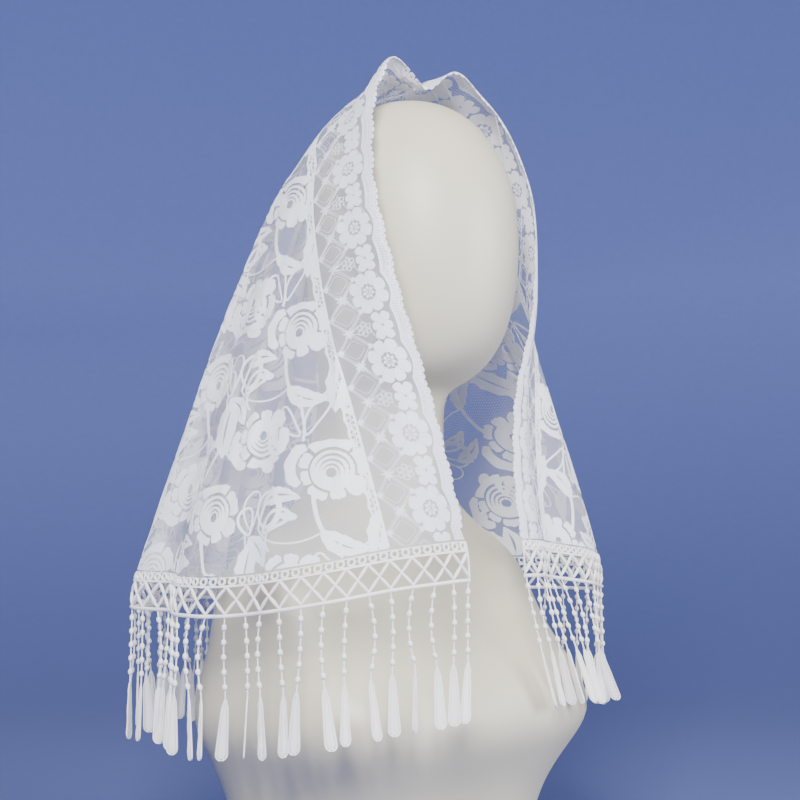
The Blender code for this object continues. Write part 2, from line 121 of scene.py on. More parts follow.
world = bpy.data.worlds.new("studio")
bpy.context.scene.world = world
world.use_nodes = True
background = world.node_tree.nodes["Background"]
background.inputs["Color"].default_value = (0.90, 0.92, 1.0, 1)
background.inputs["Strength"].default_value = 0.34

# %% [markdown]
# ## Helpers for materials
#
# Every finish here is a Principled shader with its pattern worked out by nodes. A first helper makes the
# material, a second places a node and wires its inputs in one line, and a third blends two colours.


# %% Material helpers
def new_material(name, colour, roughness):
    """A material with a plain Principled shader, its node tree and the shader."""
    material = bpy.data.materials.new(name)
    material.use_nodes = True
    tree = material.node_tree
    shader = tree.nodes["Principled BSDF"]
    shader.inputs["Base Color"].default_value = (*colour, 1)
    shader.inputs["Roughness"].default_value = roughness
    return material, tree, shader


def node(tree, kind, settings=None, **wires):
    """Adds a node. settings are its options, and a wire is a socket to link or a value for an input."""
    made = tree.nodes.new(kind)
    for option, value in (settings or {}).items():
        setattr(made, option, value)
    for name, value in wires.items():
        socket = made.inputs[int(name[1:])] if name[0] == "i" and name[1:].isdigit() else made.inputs[name]
        if isinstance(value, bpy.types.NodeSocket):
            tree.links.new(value, socket)
        else:
            socket.default_value = value
    return made


def two_tone(tree, factor, first, second):
    """The socket of a blend of two plain colours."""
    blend = {"data_type": "RGBA"}
    made = node(tree, "ShaderNodeMix", blend, Factor=factor, i6=(*first, 1), i7=(*second, 1))
    return made.outputs[2]


def new_group(name, inputs, outputs):
    """An empty node group with named sockets, and its input and output nodes."""
    group = bpy.data.node_groups.new(name, "ShaderNodeTree")
    for title, kind in inputs:
        group.interface.new_socket(title, in_out="INPUT", socket_type=kind)
    for title, kind in outputs:
        group.interface.new_socket(title, in_out="OUTPUT", socket_type=kind)
    return group, group.nodes.new("NodeGroupInput"), group.nodes.new("NodeGroupOutput")


# %% Paper bowl round the object
FLOOR_RADIUS, WALL_BEND, WALL_HEIGHT = 1.0, 2.2, 2.9
BEND_PARTS, ROUND_PARTS = 24, 96
UNDER_BASE = 0.3 * MM                # the paper lies this far below the bust's base
# the paper is painted darker toward the floor: partly to even out the stronger lamp light on the floor,
# partly as painted shade at the bottom of the bowl
SHADED_FLOOR_BLUE, HIGH_BLUE = (0.072, 0.095, 0.270), (0.180, 0.232, 0.580)
paper, tree, shader = new_material("pale_blue_paper", HIGH_BLUE, 0.9)
place = node(tree, "ShaderNodeTexCoord")
height = node(tree, "ShaderNodeSeparateXYZ", i0=place.outputs["Object"])
floor_shade_ramp = node(tree, "ShaderNodeMapRange", i0=height.outputs["Z"], i1=0.0, i2=0.8)
tint = two_tone(tree, floor_shade_ramp.outputs[0], SHADED_FLOOR_BLUE, HIGH_BLUE)
grain = node(tree, "ShaderNodeTexNoise", Vector=place.outputs["Object"], Scale=60.0, Detail=3.0)
fleck = node(tree, "ShaderNodeMapRange", i0=grain.outputs["Fac"], i3=0.95, i4=1.05)
speckled = node(tree, "ShaderNodeHueSaturation", Color=tint, Value=fleck.outputs[0])
tree.links.new(speckled.outputs[0], shader.inputs["Base Color"])

bowl = bmesh.new()
start = bowl.verts.new((0, 0, 0))
profile = [(FLOOR_RADIUS, 0)]
for step in range(1, BEND_PARTS + 1):
    angle = math.pi / 2 * step / BEND_PARTS
    profile.append((FLOOR_RADIUS + WALL_BEND * math.sin(angle), WALL_BEND * (1 - math.cos(angle))))
profile.append((FLOOR_RADIUS + WALL_BEND, WALL_HEIGHT))
line = [start] + [bowl.verts.new((r, 0, z)) for r, z in profile]
edges = [bowl.edges.new(pair) for pair in zip(line, line[1:])]
bmesh.ops.spin(
    bowl, geom=line + edges, cent=(0, 0, 0), axis=(0, 0, 1), angle=math.tau, steps=ROUND_PARTS,
    use_merge=True,
)
bmesh.ops.remove_doubles(bowl, verts=bowl.verts[:], dist=1e-5)
face_outwards(bowl)
bmesh.ops.translate(bowl, verts=bowl.verts[:], vec=(0, 0, -UNDER_BASE))
bowl_mesh = as_mesh("paper_bowl", bowl)
bowl_mesh.shade_smooth()
bowl_mesh.materials.append(paper)
paper_bowl = add_object("paper_bowl", bowl_mesh)
print("paper bowl:", len(bowl_mesh.polygons), "faces")

# %% [markdown]
# ## How the shawl hangs
#
# Cloth over a head falls in lines that leave the crown like the ribs of a fan. Each fall line is named by
# its turn: -1 is the front edge at the bust's right, 0 the middle of the back, +1 the other front edge.
# Level sections give where the lines pass, and between them a smooth curve does. Folds are hollows pushed
# in between the fall lines. The result is kept as a table of points over turn and share of the length, so
# that thousands of stitches can be looked up at once.

# %% Sizes of the shawl
TRIM_WIDTH = 0.058                   # to the crests of its scallops
SCALLOPS = 32                        # along the whole front edge
FIRST_NOTCH = 1 / 3                  # of a scallop, from the edge's right end to its first notch
SCALLOP_DEPTH = 0.0026
BRAID_HEIGHT = 0.0255                # without its lower cord
CROSSES = 90                         # along the whole hem
STRING_LENGTH = 0.055                # from the lower cord to the top of a petal
PETAL_LENGTH = 0.041
STRING_CLEARANCE = 0.009             # of the strings from the bust that they fall past
HEM_SHARE = 0.997                    # the share of each fall line that the woven motifs reach
CROWN_FRONT = (-0.003, -0.051, 0.628)  # the middle of the front edge, over the crown
# two standing peaks and the dip between them: place along the edge, reach, rise
CROWN_FORMS = ((-0.036, 0.016, 0.010), (0.003, 0.014, -0.013), (0.027, 0.018, 0.009))
CROWN_DEPTH = 0.022                  # how far back from the edge they reach

# level sections: the front edge at the right and the left, half widths, the side and the back
SECTION_COLUMNS = (
    "right_x", "right_y", "right_z", "left_x", "left_y", "left_z",
    "right_half", "left_half", "side_y", "side_z", "back_y", "back_z",
)
SECTIONS = (
    (-0.042, -0.051, 0.622, 0.041, -0.071, 0.612, 0.047, 0.062, -0.020, 0.603, 0.014, 0.603),
    (-0.085, -0.073, 0.550, 0.084, -0.083, 0.550, 0.086, 0.096, -0.015, 0.547, 0.064, 0.547),
    (-0.097, -0.106, 0.460, 0.091, -0.083, 0.460, 0.120, 0.122, -0.010, 0.460, 0.110, 0.460),
    (-0.089, -0.134, 0.368, 0.051, -0.095, 0.368, 0.156, 0.171, -0.010, 0.365, 0.144, 0.360),
    (-0.081, -0.158, 0.271, 0.021, -0.126, 0.268, 0.203, 0.208, -0.022, 0.246, 0.180, 0.243),
)
# share of a quarter turn from the front edge, and where it lies at the right and at the left:
# 0 is the front edge, 1 the side, 2 the back
SHARING = ((0, 0, 0), (0.09, 0.30, 0.22), (0.28, 0.93, 0.85), (0.47, 1.36, 1.36), (1, 2, 2))
# hollows between the folds: turn, half width, depth at the hem, share of the fall where it starts
HOLLOWS = (
    (-0.905, 0.060, 0.006, 0.45), (-0.755, 0.060, 0.008, 0.40), (-0.610, 0.070, 0.016, 0.30),
    (-0.455, 0.078, 0.024, 0.20), (-0.300, 0.074, 0.037, 0.14), (-0.158, 0.068, 0.040, 0.12),
    (-0.010, 0.080, 0.044, 0.12), (0.148, 0.076, 0.041, 0.12), (0.290, 0.066, 0.036, 0.14),
    (0.440, 0.084, 0.038, 0.12), (0.610, 0.072, 0.020, 0.25), (0.895, 0.080, 0.014, 0.28),
)
# soft creases that a hand leaves in the lace: turn, half width, height (out is plus), start, end
CREASES = (
    (-0.735, 0.016, 0.0024, 0.30, 1.00), (-0.790, 0.014, 0.0018, 0.55, 1.00),
    (-0.868, 0.012, 0.0020, 0.30, 0.95), (-0.690, 0.018, -0.0016, 0.35, 0.90),
    (-0.545, 0.016, 0.0020, 0.25, 0.80), (-0.395, 0.014, -0.0016, 0.30, 0.90),
    (-0.235, 0.014, 0.0018, 0.20, 0.75), (-0.080, 0.016, 0.0020, 0.25, 0.85),
    (0.070, 0.014, -0.0016, 0.30, 0.95), (0.215, 0.015, 0.0018, 0.22, 0.70),
    (0.365, 0.014, 0.0018, 0.35, 1.00), (0.520, 0.016, -0.0016, 0.28, 0.85),
    (0.685, 0.016, 0.0022, 0.30, 0.95), (0.780, 0.014, 0.0016, 0.45, 1.00),
)

# %% The table of the hang
TURN_STEP = 0.002
TURNS = np.linspace(-1, 1, 1001)
SHARES = np.linspace(0, 1, 201)
ASIDE = 2                            # how many turns to each side a direction is read


def smooth(share):
    """Eases in and out between 0 and 1."""
    return share * share * (3 - 2 * share)


def hermite(t, step, start, end, start_slope, end_slope):
    """The cubic between two values with these slopes, at the share t of a step."""
    return (
        start * (1 + 2 * t) * (1 - t) ** 2 + start_slope * step * t * (1 - t) ** 2
        + end * t * t * (3 - 2 * t) + end_slope * step * t * t * (t - 1)
    )


def rising(knots, values, at):
    """A smooth curve through rising values that never turns back."""
    knots, values = np.array(knots, float), np.array(values, float)
    steps = np.diff(knots)
    rises = np.diff(values) / steps
    before, after = 2 * steps[1:] + steps[:-1], steps[1:] + 2 * steps[:-1]
    inner = (before + after) / (before / rises[:-1] + after / rises[1:])
    slopes = np.concatenate(([rises[0]], inner, [rises[-1]]))
    i = np.clip(np.searchsorted(knots, at) - 1, 0, len(steps) - 1)
    return hermite((at - knots[i]) / steps[i], steps[i], values[i], values[i + 1], slopes[i], slopes[i + 1])


def arc_angle(across, along, share):
    """The angles at which a quarter ellipse of these half axes has these shares of its length behind it."""
    angles = np.linspace(0, math.pi / 2, 25)
    middles = (angles[1:] + angles[:-1]) / 2
    parts = np.hypot(across * np.cos(middles), along * np.sin(middles))
    lengths = np.concatenate(([0], np.cumsum(parts)))
    return np.interp(share * lengths[-1], lengths, angles)


def section_points(row, turns):
    """Where the fall lines of these turns cross one level section."""
    size = dict(zip(SECTION_COLUMNS, row))
    knots, *places = zip(*SHARING)
    side_y, side_z, back_y, back_z = (size[name] for name in ("side_y", "side_z", "back_y", "back_z"))
    points = np.empty((len(turns), 3))
    for side, sign, values in (("right", -1, places[0]), ("left", 1, places[1])):
        place = rising(knots, values, 1 - np.abs(turns))
        edge_x, edge_y, edge_z = (size[side + axis] for axis in ("_x", "_y", "_z"))
        half = size[side + "_half"]
        ahead = arc_angle(half - abs(edge_x), side_y - edge_y, np.clip(place, 0, 1))
        behind = arc_angle(back_y - side_y, half, np.clip(place - 1, 0, 1))
        front = np.stack((
            edge_x + sign * (half - abs(edge_x)) * np.sin(ahead),
            side_y + (edge_y - side_y) * np.cos(ahead),
            edge_z + (side_z - edge_z) * smooth(place),
        ), axis=-1)
        back = np.stack((
            sign * half * np.cos(behind),
            side_y + (back_y - side_y) * np.sin(behind),
            side_z + (back_z - side_z) * smooth(place - 1),
        ), axis=-1)
        here = (turns >= 0) == (sign > 0)
        points[here] = np.where((place <= 1)[:, None], front, back)[here]
    return points


def fall_line(line):
    """One fall line at all SHARES, from its few section points."""
    knots = np.concatenate(([0], np.cumsum(np.linalg.norm(np.diff(line, axis=0), axis=1))))
    knots /= knots[-1]
    slopes = np.gradient(line, knots, axis=0, edge_order=2)
    i = np.clip(np.searchsorted(knots, SHARES) - 1, 0, len(knots) - 2)
    step = (knots[i + 1] - knots[i])[:, None]
    t = (SHARES - knots[i])[:, None] / step
    return hermite(t, step, line[i], line[i + 1], slopes[i], slopes[i + 1])


def across_turns(table):
    """For each turn, the row of a table a little after it, less the row a little before it."""
    places, last = np.arange(len(TURNS)), len(TURNS) - 1
    return table[np.minimum(places + ASIDE, last)] - table[np.maximum(places - ASIDE, 0)]


def hill(turn, half_width):
    """A soft hill of height 1 over the turns."""
    away = np.minimum(np.abs(TURNS - turn) / half_width, 1)
    return (np.cos(math.pi * away) + 1) / 2


crossings = [section_points(row, TURNS) for row in SECTIONS]
crossings = np.stack([np.broadcast_to(CROWN_FRONT, crossings[0].shape)] + crossings, axis=1)
fall = np.array([fall_line(line) for line in crossings])
LENGTHS = np.linalg.norm(np.diff(fall, axis=1), axis=2).sum(axis=1)

along = across_turns(fall)[..., :2]
run = np.maximum(np.linalg.norm(along, axis=2), 1e-9)
inward = np.stack((along[..., 1] / run, -along[..., 0] / run, np.zeros_like(run)), axis=-1)
inward[:, 0] = 0

push = np.zeros((len(TURNS), len(SHARES)))
for turn, half_width, depth, begin in HOLLOWS:
    push += np.outer(depth * hill(turn, half_width), np.maximum(0, (SHARES - begin) / (1 - begin)))
for turn, half_width, height, begin, end in CREASES:
    stretch = np.clip((SHARES - begin) / (end - begin), 0, 1)
    stretch = np.sin(math.pi * stretch) ** 0.7 if end < 1 else smooth(stretch)
    push -= np.outer(height * hill(turn, half_width), stretch)
HANG = fall + inward * push[..., None]
print(f"front edge {LENGTHS[0] + LENGTHS[-1]:.3f} m, back {LENGTHS[len(TURNS) // 2]:.3f} m long")


# %% Looking up points of the cloth
def turn_of(across, down):
    """The turn of the fall line through a point of the flat cut."""
    return np.copysign(1 - np.arctan2(down, np.abs(across)) / (math.pi / 2), across)


def share_of(across, down):
    """How far down its fall line a point of the flat cut lies."""
    return np.hypot(across, down) / np.interp(turn_of(across, down), TURNS, LENGTHS)


def hung(across, down):
    """The places in space of points of the flat cut: across along the front edge, down toward the hem."""
    a = (turn_of(across, down) + 1) / TURN_STEP
    b = share_of(across, down) * (len(SHARES) - 1)
    i = np.clip(a.astype(int), 0, len(TURNS) - 2)
    j = np.clip(b.astype(int), 0, len(SHARES) - 2)
    s, t = (a - i)[:, None], (b - j)[:, None]
    upper = HANG[i, j] * (1 - s) + HANG[i + 1, j] * s
    lower = HANG[i, j + 1] * (1 - s) + HANG[i + 1, j + 1] * s
    point = upper * (1 - t) + lower * t
    for at, reach_out, rise in CROWN_FORMS:
        point[:, 2] += rise * np.exp(-(((across - at) / reach_out) ** 2 + (down / CROWN_DEPTH) ** 2))
    return point


def outward(across, down):
    """The directions out of the cloth at points of the flat cut."""
    step = 2 * MM
    along = hung(across + step, down) - hung(across - step, down)
    away = hung(across, down + step) - hung(across, np.maximum(0, down - step))
    normal = np.cross(along, away)
    return normal / np.maximum(np.linalg.norm(normal, axis=1), 1e-12)[:, None]


def hang_on_bust(flat):
    """Flat points (across, down, lift) to their places on the hung cloth."""
    return hung(flat[:, 0], flat[:, 1]) + outward(flat[:, 0], flat[:, 1]) * flat[:, 2:3]


# %% The hem, where the braid hangs
hem_line = HANG[:, -1]
hem_steps = np.concatenate(([0], np.cumsum(np.linalg.norm(np.diff(hem_line, axis=0), axis=1))))
HEM_LENGTH = float(hem_steps[-1])
PITCH = HEM_LENGTH / CROSSES
hem_slope = hem_line - HANG[:, -3]
hem_slope /= np.linalg.norm(hem_slope, axis=1)[:, None]
hem_along = across_turns(hem_line)
hem_out = np.stack((-hem_along[:, 1], hem_along[:, 0], np.zeros(len(TURNS))), axis=-1)
hem_out /= np.linalg.norm(hem_out, axis=1)[:, None]
PLUMB = np.array((0.0, 0.0, -1.0))


def at_hem(table, along):
    """Values of a table kept for each turn, at places along the hung hem in metres."""
    turn = np.interp(along, hem_steps, TURNS)
    return np.stack([np.interp(turn, TURNS, table[:, axis]) for axis in range(3)], axis=-1)


def hang_below_hem(flat):
    """Flat points (along the hem, drop, lift) to their places: first along the cloth, then plumb."""
    base, slope, out = (at_hem(table, flat[:, 0]) for table in (hem_line, hem_slope, hem_out))
    out /= np.linalg.norm(out, axis=1)[:, None]
    drop = flat[:, 1:2]
    bend = np.minimum(drop, BRAID_HEIGHT)
    turned = slope * bend + (PLUMB - slope) * bend * bend / (2 * BRAID_HEIGHT)
    return base + turned + PLUMB * np.maximum(0, drop - BRAID_HEIGHT) + out * flat[:, 2:3]


print(f"hem {HEM_LENGTH:.3f} m, a cross each {PITCH * 1000:.1f} mm")

# %% [markdown]
# ## Drawing lace flat
#
# Lace is drawn flat, as its maker would, and hung afterwards. Nearly every shape in it is a small patch:
# a grid whose points are moved to a petal, half a leaf or a length of thread. A wall is added under each
# patch, so that every motif is a closed, slightly raised piece of cloth.


# %% Patches and threads
GLANCE = 0.01                        # how far a path is looked at, ahead and behind, for its direction


def patch(bm, along, across, place):
    """A grid of along by across faces, each point (u, v) from 0 to 1 moved to place(u, v)."""
    grid = bmesh.ops.create_grid(bm, x_segments=along, y_segments=across, size=0.5)["verts"]
    for vert in grid:
        vert.co = (*place(vert.co.x + 0.5, vert.co.y + 0.5), 0)
    return grid


def thread(bm, path, width, parts, closed=False):
    """A flat thread along path(u), of a width that may be a function of u."""
    wide = width if callable(width) else lambda u: width

    def place(u, v):
        ahead, behind = (u + GLANCE, u - GLANCE) if closed else (min(u + GLANCE, 1), max(u - GLANCE, 0))
        way = Vector(path(ahead)) - Vector(path(behind))
        side = Vector((-way.y, way.x)).normalized()
        return Vector(path(u)) + side * (v - 0.5) * wide(u)

    verts = patch(bm, parts, 1, place)
    if closed:
        bmesh.ops.remove_doubles(bm, verts=verts, dist=1e-6)


def around(middle, angle, wide, tall=None):
    """The point of a circle, or of an oval with two half axes, at this angle."""
    return Vector((middle[0] + wide * math.cos(angle), middle[1] + (tall or wide) * math.sin(angle)))


def ring(bm, middle, radius, width, parts):
    """A closed round thread."""
    thread(bm, lambda u: around(middle, math.tau * u, radius), width, parts, closed=True)


def straight(bm, start, end, width, parts):
    """A straight thread."""
    start, end = Vector(start), Vector(end)
    thread(bm, lambda u: start.lerp(end, u), width, parts)


# %% Petals, dots and leaves
VEIN, LEAF_THIN = 1.9, 0.3           # millimetres across an open vein and the thinnest half of a leaf
LOOP_BEND = 0.1


def petal(bm, middle, facing, span, near, far, frill, fall_back, late, parts):
    """A petal in millimetres and degrees, between two radii round its middle.

    Its rim falls back toward its sides by a share of its length, and stays full longer where late is high.
    """
    def place(u, v):
        side = 2 * u - 1
        rim = near + (far - near) * (1 - fall_back * abs(side) ** late) + frill * math.cos(3 * math.pi * side)
        return around(middle, math.radians(facing - side * span / 2), near + (rim - near) * v) * MM

    patch(bm, parts, 2, place)


def dot(bm, middle, radius, parts=6):
    """A small round filled spot."""
    verts = bmesh.ops.create_circle(bm, cap_ends=True, segments=parts, radius=radius)["verts"]
    bmesh.ops.translate(bm, verts=verts, vec=(*middle, 0))


def leaf(bm, x, y, facing, length, width, bend):
    """A leaf in millimetres and degrees: two halves with wavy edges, and an open vein between them."""
    turn = Matrix.Rotation(math.radians(facing), 2)
    for side in (1, -1):
        def place(u, v):
            inner = VEIN / 2 * math.sin(math.pi * min(1.0, max(0.0, (u - 0.12) / 0.7))) + 0.05
            wave = 1 + 0.10 * math.sin(9 * math.pi * u)
            outer = width / 2 * math.sin(math.pi * u**0.8) ** 0.85 * wave + LEAF_THIN
            outer = max(outer, inner + LEAF_THIN)
            out = side * (inner + (outer - inner) * (v if side > 0 else 1 - v))
            point = Vector((length * u, bend * length * 4 * u * (1 - u) + out))
            return (Vector((x, y)) + turn @ point) * MM

        patch(bm, 12, 1, place)


def loop_leaf(bm, x, y, facing, length, width, line):
    """The outline of a leaf in millimetres and degrees, with open net inside."""
    turn = Matrix.Rotation(math.radians(facing), 2)

    def path(u):
        angle = math.tau * u
        along = length * (1 - math.cos(angle)) / 2
        side = width / 2 * math.sin(angle) * (1 - 0.25 * math.cos(angle))
        point = Vector((along, side + LOOP_BEND * along * (1 - along / length) * 4))
        return (Vector((x, y)) + turn @ point) * MM

    thread(bm, path, line * MM, 20, closed=True)


# %% Walls, copies and cuts
UNDER_NET = 0.35                     # the share of a wall's thickness that lies under the net
ROSE_WALL, LEAF_WALL, STRIP_WALL = 0.35 * MM, 0.30 * MM, 0.30 * MM
BORDER_WALL, EDGING_WALL, PETAL_WALL = 0.45 * MM, 0.5 * MM, 0.9 * MM


def give_wall(bm, thickness):
    """Closes every patch into a thin solid that stands from just under the net to above it."""
    face_outwards(bm)
    down = [face for face in bm.faces if face.normal.z < 0]
    bmesh.ops.reverse_faces(bm, faces=down)
    bmesh.ops.solidify(bm, geom=bm.faces[:], thickness=thickness)
    face_outwards(bm)
    low = min(vert.co.z for vert in bm.verts)
    bmesh.ops.translate(bm, verts=bm.verts[:], vec=(0, 0, -low - thickness * UNDER_NET))


def copies(bm, unit, places):
    """Adds a copy of a mesh for each matrix, which makes one joined mesh of many repeats."""
    for matrix in places:
        one = unit.copy()
        one.transform(matrix)
        if matrix.determinant() < 0:
            one.flip_normals()
        bm.from_mesh(one)
        bpy.data.meshes.remove(one)


def cut_straight(bm, down, way):
    """Cuts a flat drawing straight across at this depth. What lies below goes, or above where way is -1."""
    everything = bm.verts[:] + bm.edges[:] + bm.faces[:]
    bmesh.ops.bisect_plane(bm, geom=everything, plane_co=(0, down, 0), plane_no=(0, way, 0), clear_outer=True)


def cut_to_cloth(bm):
    """Pulls what hangs over the curved hem back onto it, and drops the faces that lay wholly past it."""
    flat = np.array([vert.co[:] for vert in bm.verts])
    for vert, share in zip(bm.verts, share_of(flat[:, 0], flat[:, 1])):
        vert.tag = bool(share > HEM_SHARE)
        if vert.tag:
            vert.co.xy *= HEM_SHARE / share
    lost = [face for face in bm.faces if all(vert.tag for vert in face.verts)]
    bmesh.ops.delete(bm, geom=lost, context="FACES")


# %% Pieces
def make_piece(name, mesh, material, replaces=None):
    """A smooth-shaded piece that rides on the part's one body."""
    mesh.shade_smooth()
    mesh.materials.append(material)
    piece = add_object(name, mesh)
    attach(piece, "root")
    if replaces:
        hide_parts(replaces)
    return piece


def hang_piece(name, bm, material, place, replaces=None, sharp=40):
    """Turns a flat drawing into a piece: keeps its flat places as a UV map, then hangs it."""
    mesh = as_mesh(name, bm)
    flat = np.empty(len(mesh.vertices) * 3)
    mesh.vertices.foreach_get("co", flat)
    flat = flat.reshape(-1, 3)
    corners = np.empty(len(mesh.loops), int)
    mesh.loops.foreach_get("vertex_index", corners)
    mesh.uv_layers.new(name="flat_cut").data.foreach_set("uv", flat[corners, :2].ravel())
    mesh.vertices.foreach_set("co", place(flat).ravel())
    mesh.update()
    piece = make_piece(name, mesh, material, replaces)
    mesh.set_sharp_from_angle(angle=math.radians(sharp))
    print(f"{name}: {sum(len(face.vertices) - 2 for face in mesh.polygons)} triangles")
    return piece


# %% [markdown]
# ## The finishes
#
# The net is a sheet whose holes are real gaps in its alpha, six-sided like bobbin net. The woven parts
# share one group that lays crossing threads over them, as a height for the bump and a shade for the
# colour. The pattern follows the flat cut through the UV map, so it bends with the cloth.


# %% Group: six-sided net
THREAD_BLUR = 0.05                   # the share of a cell over which a thread's side fades


def make_net_group():
    """Mask of the threads of a six-sided net, from a vector counted in cells."""
    group, start, end = new_group(
        "six_sided_net", [("Vector", "NodeSocketVector"), ("Thread", "NodeSocketFloat")],
        [("Mask", "NodeSocketFloat")],
    )
    tall = math.sqrt(3)

    def vector_step(operation, first, second=None):
        wires = {"i0": first} if second is None else {"i0": first, "i1": second}
        return node(group, "ShaderNodeVectorMath", {"operation": operation}, **wires)

    def value_step(operation, first, second):
        return node(group, "ShaderNodeMath", {"operation": operation}, i0=first, i1=second).outputs[0]

    cells = vector_step("DIVIDE", start.outputs["Vector"], (1, tall, 1))
    nearest = []
    for shift in ((0, 0, 0), (0.5, 0.5, 0)):
        moved = vector_step("ADD", cells.outputs[0], shift)
        part = vector_step("FRACTION", moved.outputs[0])
        centred = vector_step("SUBTRACT", part.outputs[0], (0.5, 0.5, 0.5))
        flat = vector_step("MULTIPLY", centred.outputs[0], (1, tall, 0))
        side = vector_step("ABSOLUTE", flat.outputs[0])
        slant = vector_step("DOT_PRODUCT", side.outputs[0], (0.5, tall / 2, 0))
        split = node(group, "ShaderNodeSeparateXYZ", i0=side.outputs[0])
        nearest.append(value_step("MAXIMUM", split.outputs[0], slant.outputs["Value"]))
    hexagon = value_step("MINIMUM", *nearest)
    inner = value_step("SUBTRACT", 0.5, start.outputs["Thread"])
    outer = value_step("ADD", inner, THREAD_BLUR)
    soft_step = {"interpolation_type": "SMOOTHSTEP"}
    mask = node(group, "ShaderNodeMapRange", soft_step, i0=hexagon, i1=inner, i2=outer)
    group.links.new(mask.outputs[0], end.inputs["Mask"])
    return group


NET_GROUP = make_net_group()


# %% Group: crossing threads
def make_weave_group():
    """Height and shade of fine crossing threads, with a slow unevenness over the cloth."""
    group, start, end = new_group(
        "crossing_threads", [("Vector", "NodeSocketVector"), ("Scale", "NodeSocketFloat")],
        [("Height", "NodeSocketFloat"), ("Shade", "NodeSocketFloat")],
    )
    bands = []
    for turned in (45, -45):
        turn = (0, 0, math.radians(turned))
        way = node(group, "ShaderNodeMapping", Vector=start.outputs["Vector"], Rotation=turn)
        bands.append(node(
            group, "ShaderNodeTexWave", {"bands_direction": "X"},
            Vector=way.outputs[0], Scale=start.outputs["Scale"], Distortion=1.5,
        ))
    first, second = (band.outputs["Fac"] for band in bands)
    height = node(group, "ShaderNodeMath", {"operation": "MAXIMUM"}, i0=first, i1=second)
    cloudy = node(group, "ShaderNodeTexNoise", Vector=start.outputs["Vector"], Scale=90.0, Detail=3.0)
    blend = {"data_type": "FLOAT"}
    shade = node(group, "ShaderNodeMix", blend, Factor=0.45, i2=cloudy.outputs["Fac"], i3=height.outputs[0])
    group.links.new(height.outputs[0], end.inputs["Height"])
    group.links.new(shade.outputs[0], end.inputs["Shade"])
    return group


WEAVE_GROUP = make_weave_group()


# %% Cloth materials
THREAD_HIGH = 0.4 * MM               # how high the weave's bump stands
NET_DARKER = 0.90                    # the net's darker places, as a share of its colour


def cloth_material(name, light, dark, scale, depth, roughness=0.75):
    """White thread: colour between two near whites by the weave's shade, and the weave as bump."""
    material, tree, shader = new_material(name, light, roughness)
    uv = node(tree, "ShaderNodeUVMap", {"uv_map": "flat_cut"})
    weave = node(tree, "ShaderNodeGroup", {"node_tree": WEAVE_GROUP}, Vector=uv.outputs[0], Scale=scale)
    ramp = node(tree, "ShaderNodeMapRange", i0=weave.outputs["Shade"], i1=0.25, i2=0.75)
    tree.links.new(two_tone(tree, ramp.outputs[0], dark, light), shader.inputs["Base Color"])
    bump = node(tree, "ShaderNodeBump", Strength=depth, Distance=THREAD_HIGH, Height=weave.outputs["Height"])
    tree.links.new(bump.outputs[0], shader.inputs["Normal"])
    shader.inputs["Sheen Weight"].default_value = 0.25
    return material


def net_material(name, colour, cell, thread_share):
    """Net: the six-sided mask is its alpha."""
    material, tree, shader = new_material(name, colour, 0.8)
    uv = node(tree, "ShaderNodeUVMap", {"uv_map": "flat_cut"})
    counted = node(tree, "ShaderNodeMapping", Vector=uv.outputs[0], Scale=(1 / cell, 1 / cell, 1))
    holes = {"node_tree": NET_GROUP}
    mask = node(tree, "ShaderNodeGroup", holes, Vector=counted.outputs[0], Thread=thread_share)
    tree.links.new(mask.outputs[0], shader.inputs["Alpha"])
    cloudy = node(tree, "ShaderNodeTexNoise", Vector=uv.outputs[0], Scale=55.0, Detail=2.0)
    tone = two_tone(tree, cloudy.outputs["Fac"], [c * NET_DARKER for c in colour], colour)
    tree.links.new(tone, shader.inputs["Base Color"])
    return material


body_net = net_material("body_net", (0.78, 0.79, 0.87), 0.0017, 0.10)
strip_net = net_material("strip_net", (0.62, 0.63, 0.71), 0.0015, 0.12)
rose_thread = cloth_material("rose_thread", (0.90, 0.91, 0.95), (0.78, 0.79, 0.87), 420, 0.35)
strip_thread = cloth_material("strip_thread", (0.84, 0.84, 0.91), (0.68, 0.69, 0.79), 520, 0.4)
cord_thread = cloth_material("cord_thread", (0.93, 0.92, 0.91), (0.84, 0.83, 0.83), 300, 0.5, 0.65)

# %% [markdown]
# ## The net of the body
#
# The body is a thin sheet of net on the hung form. It starts as a grid of fall lines, bent flat into a
# fan, and is cut straight along the seam. Its points lie on the fall lines, so the folds stay smooth.

# %% Net of the body
NET_COLUMNS, NET_ROWS = 400, 96
NET_START = 0.10                     # the share of a fall line where the net begins, behind the strip


def fan_point(u, v):
    """A point of the flat half-round: u runs from one front edge to the other, v from crown to hem."""
    turn = 2 * u - 1
    radius = float(np.interp(turn, TURNS, LENGTHS)) * (NET_START + (1 - NET_START) * v)
    angle = (1 - abs(turn)) * math.pi / 2
    return math.copysign(radius * math.cos(angle), turn), radius * math.sin(angle)


net = bmesh.new()
patch(net, NET_COLUMNS, NET_ROWS, fan_point)
cut_straight(net, TRIM_WIDTH, -1)
face_outwards(net)
net_area = sum(face.calc_area() for face in net.faces)
rose_net = hang_piece("rose_lace_net", net, body_net, hang_on_bust, "rose_lace_body", sharp=180)

# %% [markdown]
# ## Roses and leaves of the body
#
# The roses are woven close, with only thin open lines between their petals. One rose is made of rings round
# a small eye of net, each ring set a little off the last, so that the open lines swell on one side and
# close on the other, and the flower looks to one side. Solid leaves with an open vein, leaf outlines,
# stems and oval spots fill the ground between. Two roses and their leaves make one repeat, which is drawn
# upright here and then laid at a slant on the cloth, as the lace was cut.

# %% One rose
# closed rings round the eye: middle, radius, width above the eye and below it
ROSE_RINGS = (
    ((0.0, 0.0), 4.4, 1.5, 1.7),
    ((0.2, 0.7), 6.9, 1.8, 3.2),
    ((0.3, 1.5), 9.8, 2.0, 3.8),
    ((0.4, 2.3), 13.1, 2.2, 4.2),
)
